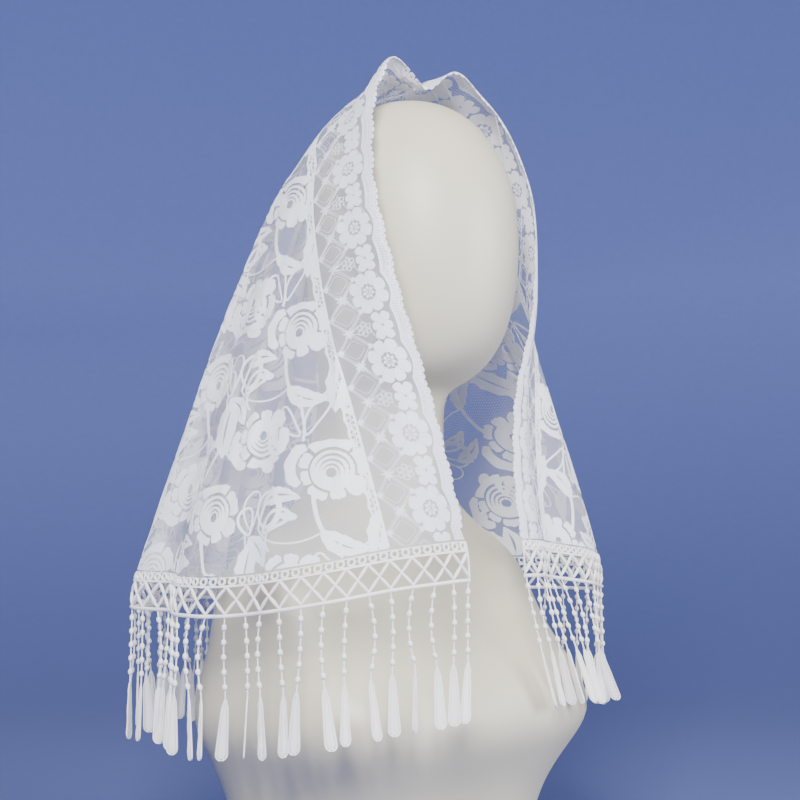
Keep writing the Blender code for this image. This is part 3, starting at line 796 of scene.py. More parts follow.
# petals round them: facing, span, near, far, frill, how far their sides fall back, how late
ROSE_PETALS = (
    (98, 80, 17.0, 22.6, 0.4, -0.50, 2.0), (25, 53, 16.4, 25.0, 0.6, 0.28, 4.0),
    (-29, 43, 14.4, 26.2, 0.6, 0.50, 2.2), (-72, 33, 14.2, 21.2, 0.5, 0.30, 3.0),
    (-115, 42, 16.6, 22.8, 0.6, 0.30, 3.5), (-158, 33, 16.0, 21.6, 0.5, 0.30, 3.0),
    (163, 33, 16.2, 23.4, 0.6, 0.30, 4.0),
)
PETALS_MIDDLE = (0.4, 1.8)
# one loose petal stands beside the others
LOOSE_MIDDLE, LOOSE_PETAL = (-11, 3), (176, 116, 14.0, 22.5, 0.6, 0.35, 3.0)
RIPPLE, RIPPLE_HIGH = 3.2, 0.45      # length and height of one ripple of the ragged rings
rose = bmesh.new()
for middle, radius, above, below in ROSE_RINGS:
    ripples = round(math.tau * radius / RIPPLE)

    def ring_line(u):
        return around(middle, math.tau * u, radius) * MM

    def ring_width(u):
        leaning = (below - above) * (1 - math.sin(math.tau * u)) / 2
        return (above + leaning + RIPPLE_HIGH * math.sin(math.tau * ripples * u)) * MM

    thread(rose, ring_line, ring_width, ripples * 3, closed=True)
for middle, table in ((PETALS_MIDDLE, ROSE_PETALS), (LOOSE_MIDDLE, (LOOSE_PETAL,))):
    for row in table:
        petal(rose, middle, *row, 12)
give_wall(rose, ROSE_WALL)
rose_unit = as_mesh("rose_unit", rose)
print("one rose:", len(rose_unit.polygons), "faces")

# %% Tables of one repeat, in millimetres and degrees
# stems: start, two handles, end, width
STEMS = (
    ((-10, -17), (-8, -30), (-4, -42), (8, -52), 3.0), ((32, -14), (37, -30), (34, -44), (22, -52), 1.5),
    ((-22, 22), (-20, 36), (-28, 44), (-28, 58), 2.0),
    ((-76, 46), (-84, 52), (-80, 60), (-78, 66), 1.8), ((-12, 56), (-20, 50), (-26, 50), (-32, 54), 1.3),
    ((-40, -12), (-46, -20), (-50, -28), (-52, -44), 1.6),
    ((-52, -44), (-42, -56), (-18, -56), (-3, -44), 1.3),
)
# solid leaves: base, facing, length, width, bend
LEAVES = (
    (2, 88, -95, 44, 18, -0.05), (-37, 61, -10, 30, 12, -0.14), (-99, 55, -46, 28, 15, 0.10),
    (-49, -25, 10, 31, 12, 0.14), (-3, -43, -16, 33, 14, -0.10), (-78, 18, 190, 20, 13, 0.12),
    (-36, 14, 150, 20, 11, 0.14),
)
# two more that hang only in the row beside the seam
SEAM_LEAVES = ((9, 124, -86, 56, 19, 0.04), (21, 120, -99, 52, 18, -0.06))
# leaf outlines: base, facing, length, width, line
LOOPS = (
    (-20, 27, 64, 29, 11, 1.6), (-25, 26, 128, 27, 11, 1.6), (-60, -44, 84, 28, 13, 1.3),
    (-46, -46, 36, 26, 11, 2.4), (-3, 92, 98, 20, 12, 2.0),
)
# one large oval ring that is thicker at one side, and two oval spots: middle, half width, half height
LARGE_RING = ((-82, 76), 10.5, 13)
SPOTS = ((-64, 72, 6.5, 3.2), (-50, 2, 6, 4.5))

# %% Leaves, loops and stems of one repeat
sprig, seam_sprig = bmesh.new(), bmesh.new()


def curve(*points):
    """A smooth path from a start, drawn by two handles, to an end, in millimetres."""
    a, b, c, d = (Vector(point) * MM for point in points)
    return lambda u: a * (1 - u) ** 3 + b * 3 * u * (1 - u) ** 2 + c * 3 * u * u * (1 - u) + d * u**3


def large_ring(u):
    """The path of the large oval ring."""
    middle, wide, tall = LARGE_RING
    return around(middle, math.tau * u, wide, tall) * MM


for *points, width in STEMS:
    thread(sprig, curve(*points), width * MM, 8)
for bm, table in ((sprig, LEAVES), (seam_sprig, SEAM_LEAVES)):
    for row in table:
        leaf(bm, *row)
for row in LOOPS:
    loop_leaf(sprig, *row)
thread(sprig, large_ring, lambda u: (3.0 + 1.6 * math.cos(math.tau * u)) * MM, 22, closed=True)
for x, y, wide, tall in SPOTS:
    spot = bmesh.ops.create_circle(sprig, cap_ends=True, segments=14, radius=1)["verts"]
    bmesh.ops.scale(sprig, verts=spot, vec=(wide * MM, tall * MM, 1))
    bmesh.ops.translate(sprig, verts=spot, vec=(x * MM, y * MM, 0))
for bm in (sprig, seam_sprig):
    give_wall(bm, LEAF_WALL)
sprig_unit, seam_unit = as_mesh("sprig_unit", sprig), as_mesh("seam_unit", seam_sprig)
print("one sprig:", len(sprig_unit.polygons), "faces")

# %% Repeat them over the cloth
REPEAT_ACROSS, REPEAT_DOWN = 112 * MM, 103 * MM
FIRST_ROSE = (-364 * MM, 83 * MM)              # in the flat cut
LAID = math.radians(-110)                      # how the repeat is turned on the cloth
turned = Matrix.Rotation(math.radians(200), 4, "Z") @ Matrix.Diagonal((-1, 1, 1, 1))
SECOND_ROSE = Matrix.Translation((-59 * MM, 26 * MM, 0)) @ turned
COLUMNS, ROWS = range(-1, 8), range(-2, 5)     # enough to cover the cloth
ROSE_REACH, SPRIG_REACH, SEAM_REACH = 35 * MM, 105 * MM, 130 * MM
FROM_SEAM = 0.5 * MM                           # where the roses and leaves are cut off
sprig_spots, seam_spots, rose_spots = [], [], []
for column in COLUMNS:
    for row in ROWS:
        x, y = FIRST_ROSE[0] + column * REPEAT_ACROSS, FIRST_ROSE[1] + row * REPEAT_DOWN
        laid = Matrix.Translation((x, y, 0)) @ Matrix.Rotation(LAID, 4, "Z")
        sprig_spots.append(laid)
        seam_spots += [laid] if row == 0 else []
        rose_spots += [laid, laid @ SECOND_ROSE]


def near_cloth(spot, reach_out):
    """Whether a motif of this reach at this spot touches the body."""
    x, y, _ = spot.translation
    limit = float(np.interp(turn_of(np.array(x), max(y, 0.0)), TURNS, LENGTHS))
    return y > TRIM_WIDTH - reach_out and math.hypot(x, max(y, 0.0)) < limit + reach_out


for name, batches in (
    ("woven_roses", ((rose_unit, rose_spots, ROSE_REACH),)),
    ("woven_leaves", ((sprig_unit, sprig_spots, SPRIG_REACH), (seam_unit, seam_spots, SEAM_REACH))),
):
    bm = bmesh.new()
    for unit, spots, reach_out in batches:
        copies(bm, unit, [spot for spot in spots if near_cloth(spot, reach_out)])
    cut_straight(bm, TRIM_WIDTH + FROM_SEAM, -1)
    cut_to_cloth(bm)
    hang_piece(name, bm, rose_thread, hang_on_bust)

# %% [markdown]
# ## The scalloped strip
#
# The strip is its own lace, with a finer and greyer net. Its outer edge is a dense band with tiny loops,
# drawn in scallops. A large oval flower sits in every second scallop and a small one between, over a
# rosette of rings, and they touch in a chain with small windows of net. The rest is a diamond lattice of
# thin double threads, with a star at each crossing and a wavy ring of thread in every diamond.

# %% Net of the strip
EDGE_PARTS = SCALLOPS * 12
END_GUESS, END_TRIES = 0.42, 12      # for how far the strip's ends reach
start_x, edge_length = -LENGTHS[0], LENGTHS[0] + LENGTHS[-1]


def scallop(across):
    """How far the scalloped edge stands back from its crests, at a place along it."""
    share = (across - start_x) / edge_length
    return SCALLOP_DEPTH * (1 - abs(math.sin(math.pi * (share * SCALLOPS - FIRST_NOTCH))))


def strip_end(side, down):
    """How far along the front edge a line of the strip meets the hem, found by better and better tries."""
    reach_out = END_GUESS
    for _ in range(END_TRIES):
        turn = float(turn_of(np.array(side * reach_out), down))
        reach_out = math.sqrt(float(np.interp(turn, TURNS, LENGTHS)) ** 2 - down**2)
    return reach_out


def strip_point(u, v):
    """A point of the flat strip: u runs along it, v from the scallops to the seam."""
    right, left = strip_end(-1, TRIM_WIDTH * v), strip_end(1, TRIM_WIDTH * v)
    across = -right + (right + left) * u
    edge = scallop(across)
    return across, edge + (TRIM_WIDTH - edge) * v


strip = bmesh.new()
patch(strip, EDGE_PARTS, 14, strip_point)
face_outwards(strip)
strip_area = sum(face.calc_area() for face in strip.faces)
trim_net = hang_piece(
    "strip_net", strip, strip_net, hang_on_bust, "scalloped_front_trim", sharp=180
)

# %% Places in one repeat of the strip
HALF = edge_length / SCALLOPS
REPEAT = 2 * HALF
BIG, SMALL = Vector((HALF / 2, 23.6 * MM)), Vector((HALF * 1.5, 20.2 * MM))
ROSETTE = Vector((HALF * 1.5, 34.5 * MM))
STARS = (Vector((HALF / 2, 45.0 * MM)), Vector((HALF * 1.5, 46.5 * MM)))
UPPER_NODE, LOWER_NODE, DIAMOND_ROW = 33.5 * MM, 57.0 * MM, 45.6 * MM


def notch(x):
    """How far the scalloped edge stands back, at a place in the repeat."""
    return SCALLOP_DEPTH * (1 - abs(math.sin(math.pi * x / HALF)))


def band_edge(x):
    """Where the dense edge band ends: it follows the scallops and is narrower beside the large flower."""
    return notch(x) + (7.7 - 1.2 * math.cos(math.tau * (x - BIG.x) / REPEAT)) * MM


# %% Flowers of the strip
lace = bmesh.new()


def lobes(bm, middle, table, near, squash, late=2.4, fall_back=0.5, parts=8):
    """Petals round a middle, one for each (facing, span, far), pressed together across the strip."""
    for facing, span, far in table:
        before = len(bm.verts)
        petal(bm, (0, 0), facing, span, near, far, 0, fall_back, late, parts)
        bm.verts.ensure_lookup_table()
        fresh = bm.verts[before:]
        bmesh.ops.scale(bm, verts=fresh, vec=(1, squash, 1))
        bmesh.ops.translate(bm, verts=fresh, vec=(*middle, 0))


# the large flower: eight petals, seven small ones inside them and ten spots round its eye
BIG_PETALS = [(22.5 + 45 * k, 44, 16.2 + 0.6 * (k % 2)) for k in range(8)]
lobes(lace, BIG, BIG_PETALS, 6.5, 0.9, 3.6, 0.36)
lobes(lace, BIG, [(51 * k, 40, 5.0) for k in range(7)], 2.2, 0.9, parts=4)
ring(lace, BIG, 1.25 * MM, 0.6 * MM, 8)
for k in range(10):
    dot(lace, around(BIG, math.tau * k / 10, 6.0 * MM, 5.3 * MM), 0.55 * MM, 5)
# the small flower: four long petals and two short ones
SMALL_PETALS = [(facing, 54, 11.0) for facing in (27, -27, 207, 153)] + [(90, 70, 7.6), (-90, 70, 7.6)]
lobes(lace, SMALL, SMALL_PETALS, 1.1, 1.0, 3.4, 0.34, 6)
# the rosette: six rings round a seventh
for k in range(6):
    ring(lace, around(ROSETTE, math.tau * k / 6, 3.9 * MM), 1.75 * MM, 0.6 * MM, 9)
ring(lace, ROSETTE, 1.4 * MM, 0.5 * MM, 8)


# %% Lattice of the strip
def arm_width(u):
    """A star's arm is shaped like a leaf."""
    return (0.5 + 1.0 * math.sin(math.pi * u)) * MM


def star(bm, middle, size, arms, turn):
    """A star of arms round a dot, every second one full length."""
    dot(bm, middle, 1.2 * MM)
    for k in range(arms):
        tip = around(middle, math.tau * k / arms + turn, size * (0.8 + 0.2 * (k % 2)))
        thread(bm, lambda u: middle.lerp(tip, u), arm_width, 3)


def double_line(bm, start, end, apart=1.3 * MM, width=0.44 * MM):
    """Two thin threads side by side."""
    way = (end - start).normalized()
    side = Vector((-way.y, way.x)) * apart / 2
    for shift in (side, -side):
        straight(bm, start + shift, end + shift, width, 4)


star(lace, STARS[0], 5.2 * MM, 8, 0.2)
star(lace, STARS[1], 4.8 * MM, 7, 0.5)
for x in (0.0, HALF):
    def wavy_ring(u):
        angle = math.tau * u
        reach = (6.3 + 0.8 * math.cos(4 * angle)) * MM
        return around((x, DIAMOND_ROW), angle, reach, 1.05 * reach)

    thread(lace, wavy_ring, 0.30 * MM, 20, closed=True)
    star(lace, Vector((x, UPPER_NODE)), 2.6 * MM, 5, 0.9)
    star(lace, Vector((x, LOWER_NODE - 1.5 * MM)), 3.0 * MM, 6, 0.1)
for node_x, middle in ((0.0, STARS[0]), (HALF, STARS[0]), (HALF, STARS[1]), (REPEAT, STARS[1])):
    double_line(lace, Vector((node_x, UPPER_NODE)), middle)
    double_line(lace, Vector((node_x, LOWER_NODE)), middle, 1.1 * MM, 0.42 * MM)
for side in (-1, 1):
    straight(lace, BIG + Vector((side * 9 * MM, 12.5 * MM)), STARS[0], 0.45 * MM, 4)
    straight(lace, ROSETTE + Vector((side * 3 * MM, 5 * MM)), STARS[1], 0.45 * MM, 3)

# %% Ladder of the edge band, and the whole strip
RUNGS, RUNG_WIDTH = 26, 1.62 * MM
STRIP_TO_SEAM = 0.2 * MM                       # how far from the seam its lace is cut off
for k in range(RUNGS):
    x = REPEAT * (k + 0.5) / RUNGS
    straight(lace, (x, notch(x) + 0.8 * MM), (x, band_edge(x) - 0.4 * MM), RUNG_WIDTH, 1)
give_wall(lace, STRIP_WALL)
strip_unit = as_mesh("strip_unit", lace)
first_x = start_x + HALF * FIRST_NOTCH - REPEAT
bm = bmesh.new()
copies(bm, strip_unit, [Matrix.Translation((first_x + k * REPEAT, 0, 0)) for k in range(SCALLOPS // 2 + 1)])
cut_straight(bm, TRIM_WIDTH - STRIP_TO_SEAM, 1)
cut_to_cloth(bm)
hang_piece("strip_flowers", bm, strip_thread, hang_on_bust)

# %% Cords and tiny loops along the scalloped edge
LOOPS_PER_SCALLOP = 5
LOOP_PITCH = edge_length / (SCALLOPS * LOOPS_PER_SCALLOP)
EDGE_CORDS = ((1.2, 1.0), (4.4, 0.9))          # distance from the edge and width, in millimetres
edging = bmesh.new()
for offset, width in EDGE_CORDS:
    def edge_cord(u):
        across = start_x + edge_length * u
        return across, scallop(across) + offset * MM

    thread(edging, edge_cord, width * MM, EDGE_PARTS)


def band_line(u):
    """The inner limit of the dense band."""
    across = start_x + edge_length * u
    return across, band_edge(across - first_x)


thread(edging, band_line, 1.3 * MM, EDGE_PARTS)
for k in range(SCALLOPS * LOOPS_PER_SCALLOP):
    across = start_x + LOOP_PITCH * (k + 0.5 + LOOPS_PER_SCALLOP * FIRST_NOTCH)
    ring(edging, (across, scallop(across) + 0.6 * MM), 1.75 * MM, 1.8 * MM, 12)
give_wall(edging, EDGING_WALL)
cut_to_cloth(edging)
hang_piece("scalloped_edging", edging, strip_thread, hang_on_bust)

# %% [markdown]
# ## The border beside the seam
#
# The rose lace is folded and stitched down where it meets the strip. The fold shows as a narrow dense
# border, so it is drawn as three uneven threads along the seam, with slanted stitches across them.

# %% Folded border of the rose lace along the seam
SEAM_PITCH, SEAM_WIDTH, SEAM_STITCH = 2.1 * MM, 5.8 * MM, 0.7 * MM
# threads along the seam, in millimetres: offset, width, sway, length of one wave
SEAM_THREADS = ((0.0, 1.5, 0.0, 10.0), (2.9, 0.9, 0.8, 17.0), (5.8, 1.8, 0.5, 13.0))
border = bmesh.new()
border_at = TRIM_WIDTH + 0.9 * MM
for offset, width, sway, wave in SEAM_THREADS:
    def seam_line(u):
        x = edge_length * u
        return start_x + x, border_at + (offset + sway * math.sin(math.tau * x / (wave * MM))) * MM

    def seam_swell(u):
        return (width + 0.4 * math.sin(math.tau * edge_length * u / (0.7 * wave * MM))) * MM

    thread(border, seam_line, seam_swell, SCALLOPS * 16)
for k in range(int(edge_length / SEAM_PITCH)):
    x, slant = start_x + SEAM_PITCH * (k + 0.5), (1 - 2 * (k % 2)) * SEAM_PITCH / 2
    straight(border, (x - slant, border_at), (x + slant, border_at + SEAM_WIDTH), SEAM_STITCH, 1)
give_wall(border, BORDER_WALL)
cut_to_cloth(border)
hang_piece("seam_border", border, rose_thread, hang_on_bust)

# %% [markdown]
# ## The corded braid
#
# Guipure braid is embroidery with its ground dissolved away: only thick corded lines are left. A row of
# eyelets is sewn over the edge of the lace. Below it a cord carries crosses, and every pair of legs meets
# on the lower cord, where a string of the fringe begins. Each bar swells where the thread is packed.


# %% Rope helper
def rope(bm, start, end, thickness, sides, parts):
    """A round cord from start to end, of a thickness that may be a function of the share along it."""
    thick = thickness if callable(thickness) else lambda share: thickness
    start, end = Vector(start), Vector(end)
    cord = bmesh.new()
    bmesh.ops.create_cone(cord, cap_ends=True, segments=sides, radius1=1, radius2=1, depth=1)
    long_ones = [edge for edge in cord.edges if abs(edge.verts[0].co.z - edge.verts[1].co.z) > 0.5]
    bmesh.ops.subdivide_edges(cord, edges=long_ones, cuts=parts - 1)
    turn = Vector((0, 0, 1)).rotation_difference(end - start).to_matrix()
    for vert in cord.verts:
        share = vert.co.z + 0.5
        radius = thick(share) / 2
        vert.co = start.lerp(end, share) + turn @ Vector((vert.co.x * radius, vert.co.y * radius, 0))
    made = as_mesh("rope", cord)
    bm.from_mesh(made)
    bpy.data.meshes.remove(made)


# %% Eyelets and crosses
CROSS_TOP, CROSS_FOOT, LOWER_CORD = 7.0 * MM, 25.4 * MM, 26.9 * MM   # drops below the hem
BARS_APART = 0.15 * MM                         # how far each bar of a cross lies in front or behind
EYELET_PITCH = PITCH / 2
EYELET_DROP, EYELET_RADIUS, EYELET_CORD = 3.1 * MM, 2.35 * MM, 0.95 * MM
UPPER_CORDS = ((0.5, 0.9), (6.7, 1.9))         # drop and thickness, in millimetres
END_CORD = 1.5 * MM
braid = bmesh.new()
for k in range(2):
    middle = (EYELET_PITCH * (k + 0.5), EYELET_DROP, 0)
    circle = bmesh.ops.create_circle(braid, segments=6, radius=EYELET_CORD)["verts"]
    bmesh.ops.rotate(braid, verts=circle, cent=(0, 0, 0), matrix=Matrix.Rotation(math.pi / 2, 3, "X"))
    bmesh.ops.translate(braid, verts=circle, vec=(middle[0] + EYELET_RADIUS, middle[1], 0))
    edges = list({edge for vert in circle for edge in vert.link_edges})
    bmesh.ops.spin(
        braid, geom=circle + edges, cent=middle, axis=(0, 0, 1), angle=math.tau, steps=12, use_merge=True
    )


def bar_thickness(share):
    """Thin where bars cross and end, full between."""
    return (1.55 + 1.0 * math.sin(math.tau * share) ** 2) * MM


for top, foot, lift in ((0, PITCH, -BARS_APART), (PITCH, 0, BARS_APART)):
    rope(braid, (top, CROSS_TOP, lift), (foot, CROSS_FOOT, lift), bar_thickness, 6, 12)
face_outwards(braid)
braid_unit = as_mesh("braid_unit", braid)
bm = bmesh.new()
copies(bm, braid_unit, [Matrix.Translation((k * PITCH, 0, 0)) for k in range(CROSSES)])
for drop, thick in UPPER_CORDS:
    rope(bm, (0, drop * MM, 0), (HEM_LENGTH, drop * MM, 0), thick * MM, 6, CROSSES * 5)
for end in (0, HEM_LENGTH):
    rope(bm, (end, 0.4 * MM, 0), (end, LOWER_CORD, 0), END_CORD, 6, 8)
face_outwards(bm)
hang_piece("corded_braid", bm, cord_thread, hang_below_hem, "lattice_band")

# %% [markdown]
# ## The fringe
#
# From each foot of the crosses hangs a thread with five oval beads of packed embroidery, and a long petal
# loop at its end. One string is drawn straight and flat. Each copy is then hung at its own foot, swung a
# little and turned by its own amount, because no two strings on a real fringe hang alike.

# %% One string
STRING_THICK, LOWER_CORD_THICK = 1.1 * MM, 2.6 * MM
BEADS, FIRST_BEAD, BEAD_PITCH = 5, 7.6 * MM, 9.9 * MM
BEAD_HALVES = (1.95 * MM, 2.5 * MM, 1.8 * MM)  # half sizes: across, along the string, deep
string = bmesh.new()
rope(string, (0, 0, 0), (0, STRING_LENGTH + 1 * MM, 0), STRING_THICK, 5, 10)
for k in range(BEADS):
    placed = Matrix.Translation((0, FIRST_BEAD + BEAD_PITCH * k, 0)) @ Matrix.Diagonal((*BEAD_HALVES, 1))
    bmesh.ops.create_uvsphere(string, u_segments=8, v_segments=6, radius=1, matrix=placed)

# %% The petal at its end
PETAL_BREADTH = 8.8 * MM
PETAL_NECK = 0.46                              # the breadth under its top, as a share of the largest
WIDEST = 0.90                                  # where it is broadest, as a share of its length
RIM, HEART_INSET = 0.9 * MM, 1.8 * MM          # width of its rim, and from its edge to its heart
STITCHES, FIRST_STITCH, STITCHED = 20, 0.12, 0.80   # between rim and heart, and the shares that they take
STITCH_WIDTH, STITCH_INTO = 1.0 * MM, 0.2 * MM
HEART_FROM, HEART_LONG = 0.03, 0.935           # shares of the petal's length
RIB_PITCH, RIB_RISE = 1.1 * MM, 0.20 * MM      # of the heart's ribs


def petal_half_width(share):
    """Half the breadth of the hanging petal, from its neck to its round end."""
    foot, neck = max(0.0, share - WIDEST) / (1 - WIDEST), max(0.0, 0.05 - share) / 0.05
    rounded = math.sqrt(max(0.0, 1 - foot**2)) * math.sqrt(max(0.0, 1 - 0.8 * neck**2))
    spread = PETAL_NECK + (1 - PETAL_NECK) * min(share / WIDEST, 1.0) ** 0.9
    return spread * rounded * PETAL_BREADTH / 2


def petal_rim(u):
    """The outline of the petal as a path down one side and up the other."""
    share = math.sin((1 - abs(2 * u - 1)) * math.pi / 2) ** 0.9
    side = max(petal_half_width(share) - RIM / 2, 0.0)
    y = STRING_LENGTH + RIM / 2 + (PETAL_LENGTH - RIM) * share
    return (math.copysign(side, 0.5 - u) if u != 0.5 else 0.0), y


outline = bmesh.new()
thread(outline, petal_rim, RIM, 32)
for k in range(STITCHES):
    share = FIRST_STITCH + STITCHED * k / (STITCHES - 1)
    y, edge = STRING_LENGTH + PETAL_LENGTH * share, petal_half_width(share)
    for side in (-1, 1):
        ends = [(side * (edge - inset), y) for inset in (RIM - STITCH_INTO, HEART_INSET + STITCH_INTO)]
        straight(outline, *ends, STITCH_WIDTH, 1)


def petal_heart(u, v):
    """A point of the close-stitched heart of the petal."""
    share = HEART_FROM + HEART_LONG * u
    half = max(petal_half_width(share) - HEART_INSET, 0.5 * MM)
    return half * (1 - 2 * v), STRING_LENGTH + PETAL_LENGTH * share


patch(outline, 12, 8, petal_heart)
give_wall(outline, PETAL_WALL)
for vert in outline.verts:
    if vert.co.z > 0:
        vert.co.z += RIB_RISE * math.cos(math.tau * vert.co.x / RIB_PITCH)
string.from_mesh(as_mesh("petal_unit", outline))
face_outwards(string)
string_unit = as_mesh("string_unit", string)
print("one string:", len(string_unit.polygons), "faces")

# %% Where each string hangs
# level sections of the bust: height, half width, front, back, squareness
BUST_SECTIONS = (
    (0.000, 0.112, -0.092, 0.078, 2.3), (0.006, 0.116, -0.095, 0.081, 2.3),
    (0.060, 0.124, -0.105, 0.083, 2.5), (0.085, 0.131, -0.113, 0.084, 2.7),
    (0.108, 0.143, -0.126, 0.085, 2.9), (0.132, 0.159, -0.141, 0.086, 3.0),
    (0.160, 0.157, -0.134, 0.086, 2.8), (0.190, 0.149, -0.110, 0.085, 2.5),
    (0.215, 0.150, -0.090, 0.083, 2.3), (0.238, 0.150, -0.075, 0.076, 2.2),
    (0.258, 0.136, -0.063, 0.068, 2.1), (0.275, 0.105, -0.055, 0.062, 2.0),
    (0.290, 0.079, -0.051, 0.058, 2.0), (0.305, 0.064, -0.049, 0.053, 2.0),
    (0.330, 0.056, -0.047, 0.050, 2.0), (0.368, 0.053, -0.047, 0.046, 2.0),
    (0.382, 0.053, -0.052, 0.045, 2.0), (0.387, 0.055, -0.066, 0.045, 2.0),
    (0.393, 0.058, -0.081, 0.046, 2.0), (0.404, 0.062, -0.097, 0.047, 2.0),
    (0.422, 0.068, -0.110, 0.050, 2.0), (0.450, 0.074, -0.119, 0.053, 2.0),
    (0.490, 0.077, -0.123, 0.055, 2.0), (0.530, 0.076, -0.119, 0.051, 2.0),
    (0.558, 0.069, -0.108, 0.042, 2.0), (0.580, 0.058, -0.093, 0.028, 2.0),
    (0.596, 0.043, -0.076, 0.010, 2.0), (0.605, 0.024, -0.056, -0.011, 2.0),
)
BUST_TOP = (0.0, -0.035, 0.6075)
TORSO_TOP = 0.300                              # below it the sections are centred on the neck axis
LEAN_STEPS = 24                                # places along a string where it has to be clear


def bust_reach(point):
    """How far out from the neck axis the bust comes at this height, in the direction of this point."""
    heights, *columns = zip(*BUST_SECTIONS)
    half, front, back, square = (float(np.interp(point[2], heights, column)) for column in columns)
    angle = math.atan2(point[1], point[0])
    across, deep = abs(math.cos(angle)) / half, abs(math.sin(angle) / (back if point[1] > 0 else front))
    return (across**square + deep**square) ** (-1 / square)


def lean_of(root, length):
    """How much a string leans out for each metre of drop, to lie clear of the bust."""
    lean = 0.0
    for step in range(LEAN_STEPS // 6, LEAN_STEPS + 1):
        drop = length * step / LEAN_STEPS
        short = bust_reach(root - np.array((0, 0, drop))) + STRING_CLEARANCE - math.hypot(root[0], root[1])
        lean = max(lean, short / drop)
    return lean


# %% Hang the strings
END_INSET = 1.1 * MM                           # of the two outermost strings
# how much the strings differ: swing aside and out for each metre, twist, tilt of the petal, bow in metres
SWING, OUTSWING, TWIST, TILT, BOW = 0.05, 0.02, 0.6, 0.09, 0.0022
chance = random.Random(7)
feet_x = np.clip(np.arange(CROSSES + 1) * PITCH, END_INSET, HEM_LENGTH - END_INSET)
feet = np.array([(x, LOWER_CORD, 0.0) for x in feet_x])
roots = hang_below_hem(feet)
outs = at_hem(hem_out, feet[:, 0])
unit = np.array([vert.co[:] for vert in string_unit.vertices])
fringe = bmesh.new()
rope(fringe, (0, LOWER_CORD, 0), (HEM_LENGTH, LOWER_CORD, 0), LOWER_CORD_THICK, 8, CROSSES * 6)
cord_verts = len(fringe.verts)
for _ in range(CROSSES + 1):
    fringe.from_mesh(string_unit)


def hang_fringe(flat):
    """Hangs the lower cord, and each string at its own foot, swung, bowed, twisted and tilted by chance."""
    placed = hang_below_hem(flat)
    length = STRING_LENGTH + PETAL_LENGTH
    wide, down, deep = unit[:, 0:1], unit[:, 1:2], unit[:, 2:3]
    share = down / length
    for k, (root, out) in enumerate(zip(roots, outs)):
        swing, twist, bow = chance.gauss(0, SWING), chance.gauss(0, TWIST), chance.gauss(0, BOW)
        lean = lean_of(root, length) + abs(chance.gauss(0, OUTSWING))
        tilt = chance.gauss(0, TILT)
        angle = twist * smooth(np.clip(share * 1.6, 0, 1))
        side = wide * np.cos(angle) - deep * np.sin(angle) + swing * down
        side += bow * np.sin(math.pi * np.clip(share * 1.8, 0, 1))
        side += tilt * np.clip(down - STRING_LENGTH, 0, None)
        ahead = wide * np.sin(angle) + deep * np.cos(angle)
        way = np.array((-out[1], out[0], 0.0))
        away = np.array((root[0], root[1], 0.0)) / math.hypot(root[0], root[1])
        first = cord_verts + k * len(unit)
        placed[first:first + len(unit)] = root + way * side + out * ahead + (away * lean + PLUMB) * down
    return placed


hang_piece("beaded_strings", fringe, cord_thread, hang_fringe, "beaded_fringe")

# %% [markdown]
# ## The bust
#
# The display bust is one smooth moulded form: a plain egg for a head, a neck and sloping shoulders cut
# off flat. A ring of points is drawn up through its level sections, and a subdivision surface rounds it.
# Its finish is ivory paint with a faint unevenness, a little glossier where hands have rubbed it.

# %% Ivory paint
ivory, tree, shader = new_material("ivory_paint", (0.56, 0.52, 0.395), 0.42)
place = node(tree, "ShaderNodeTexCoord")
spot = place.outputs["Object"]
cloudy = node(tree, "ShaderNodeTexNoise", Vector=spot, Scale=9.0, Detail=4.0, Roughness=0.6)
tone = two_tone(tree, cloudy.outputs["Fac"], (0.53, 0.49, 0.365), (0.59, 0.56, 0.445))
tree.links.new(tone, shader.inputs["Base Color"])
rubbed = node(tree, "ShaderNodeMapRange", i0=cloudy.outputs["Fac"], i1=0.3, i2=0.7, i3=0.36, i4=0.52)
tree.links.new(rubbed.outputs[0], shader.inputs["Roughness"])
stipple = node(tree, "ShaderNodeTexNoise", Vector=spot, Scale=900.0, Detail=2.0)
skin = node(tree, "ShaderNodeBump", Strength=0.12, Distance=0.2 * MM, Height=stipple.outputs["Fac"])
tree.links.new(skin.outputs[0], shader.inputs["Normal"])

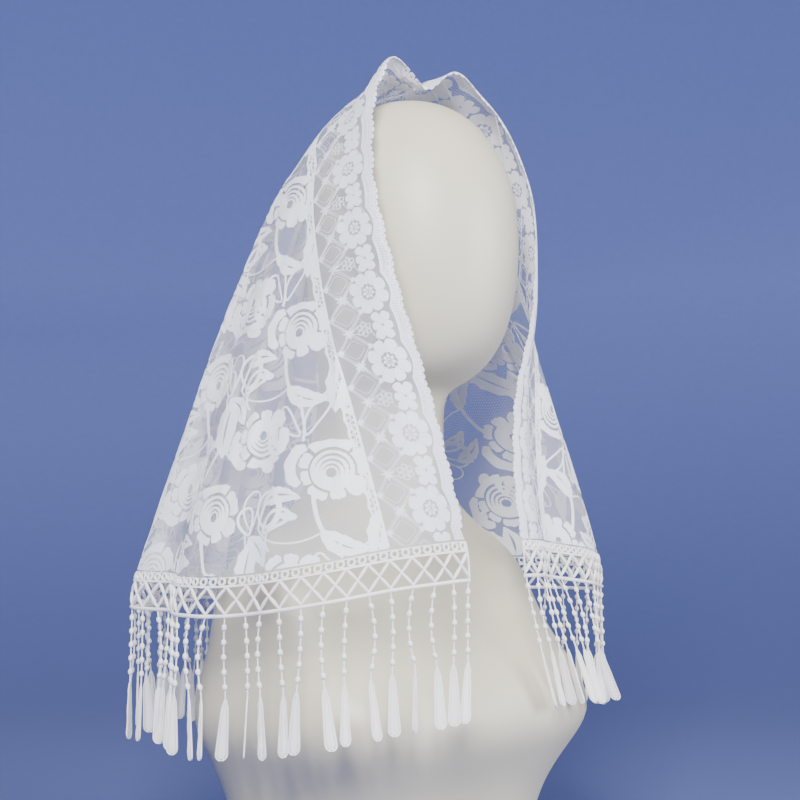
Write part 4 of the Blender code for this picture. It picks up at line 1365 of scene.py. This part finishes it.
# %% Smooth bust
BUST_SIDES = 48
bust = bmesh.new()
side_of = bust.verts.layers.float.new("side")
ring_verts = bmesh.ops.create_circle(bust, segments=BUST_SIDES, radius=1)["verts"]
for vert in ring_verts:
    vert[side_of] = math.atan2(vert.co.y, vert.co.x)


def place_ring(verts, height, half, front, back, squareness):
    """Moves a ring of points to a level section of the bust."""
    middle, power = 0.0 if height < TORSO_TOP else (front + back) / 2, 2 / squareness
    for vert in verts:
        across, ahead = math.cos(vert[side_of]), math.sin(vert[side_of])
        reach_out = back - middle if ahead > 0 else middle - front
        x = half * math.copysign(abs(across) ** power, across)
        vert.co = (x, middle + reach_out * math.copysign(abs(ahead) ** power, ahead), height)


def of_kind(parts, kind):
    """Only the vertices, or only the edges, of what an operator made."""
    return [part for part in parts if isinstance(part, kind)]


place_ring(ring_verts, *BUST_SECTIONS[0])
loop_edges = bottom_edges = bust.edges[:]
for row in BUST_SECTIONS[1:]:
    drawn = bmesh.ops.extrude_edge_only(bust, edges=loop_edges)["geom"]
    ring_verts = of_kind(drawn, bmesh.types.BMVert)
    ring_set = set(ring_verts)
    loop_edges = [edge for edge in of_kind(drawn, bmesh.types.BMEdge) if set(edge.verts) <= ring_set]
    place_ring(ring_verts, *row)
cap = bmesh.ops.extrude_edge_only(bust, edges=loop_edges)["geom"]
bmesh.ops.pointmerge(bust, verts=of_kind(cap, bmesh.types.BMVert), merge_co=BUST_TOP)
base = bmesh.ops.contextual_create(bust, geom=bottom_edges)["faces"]
bmesh.ops.inset_region(bust, faces=base, thickness=3 * MM)
face_outwards(bust)
smooth_bust = make_piece("smooth_bust", as_mesh("smooth_bust", bust), ivory, "display_bust")
rounder = smooth_bust.modifiers.new("rounder", "SUBSURF")
rounder.levels = rounder.render_levels = 2
print("bust:", len(smooth_bust.data.polygons), "faces before they are rounded")

# %% [markdown]
# ## Clearing up
#
# The single repeats, drawn only to be copied, are removed.

for unused in (rose_unit, sprig_unit, seam_unit, strip_unit, braid_unit, string_unit):
    bpy.data.meshes.remove(unused)

bpy.context.view_layer.update()
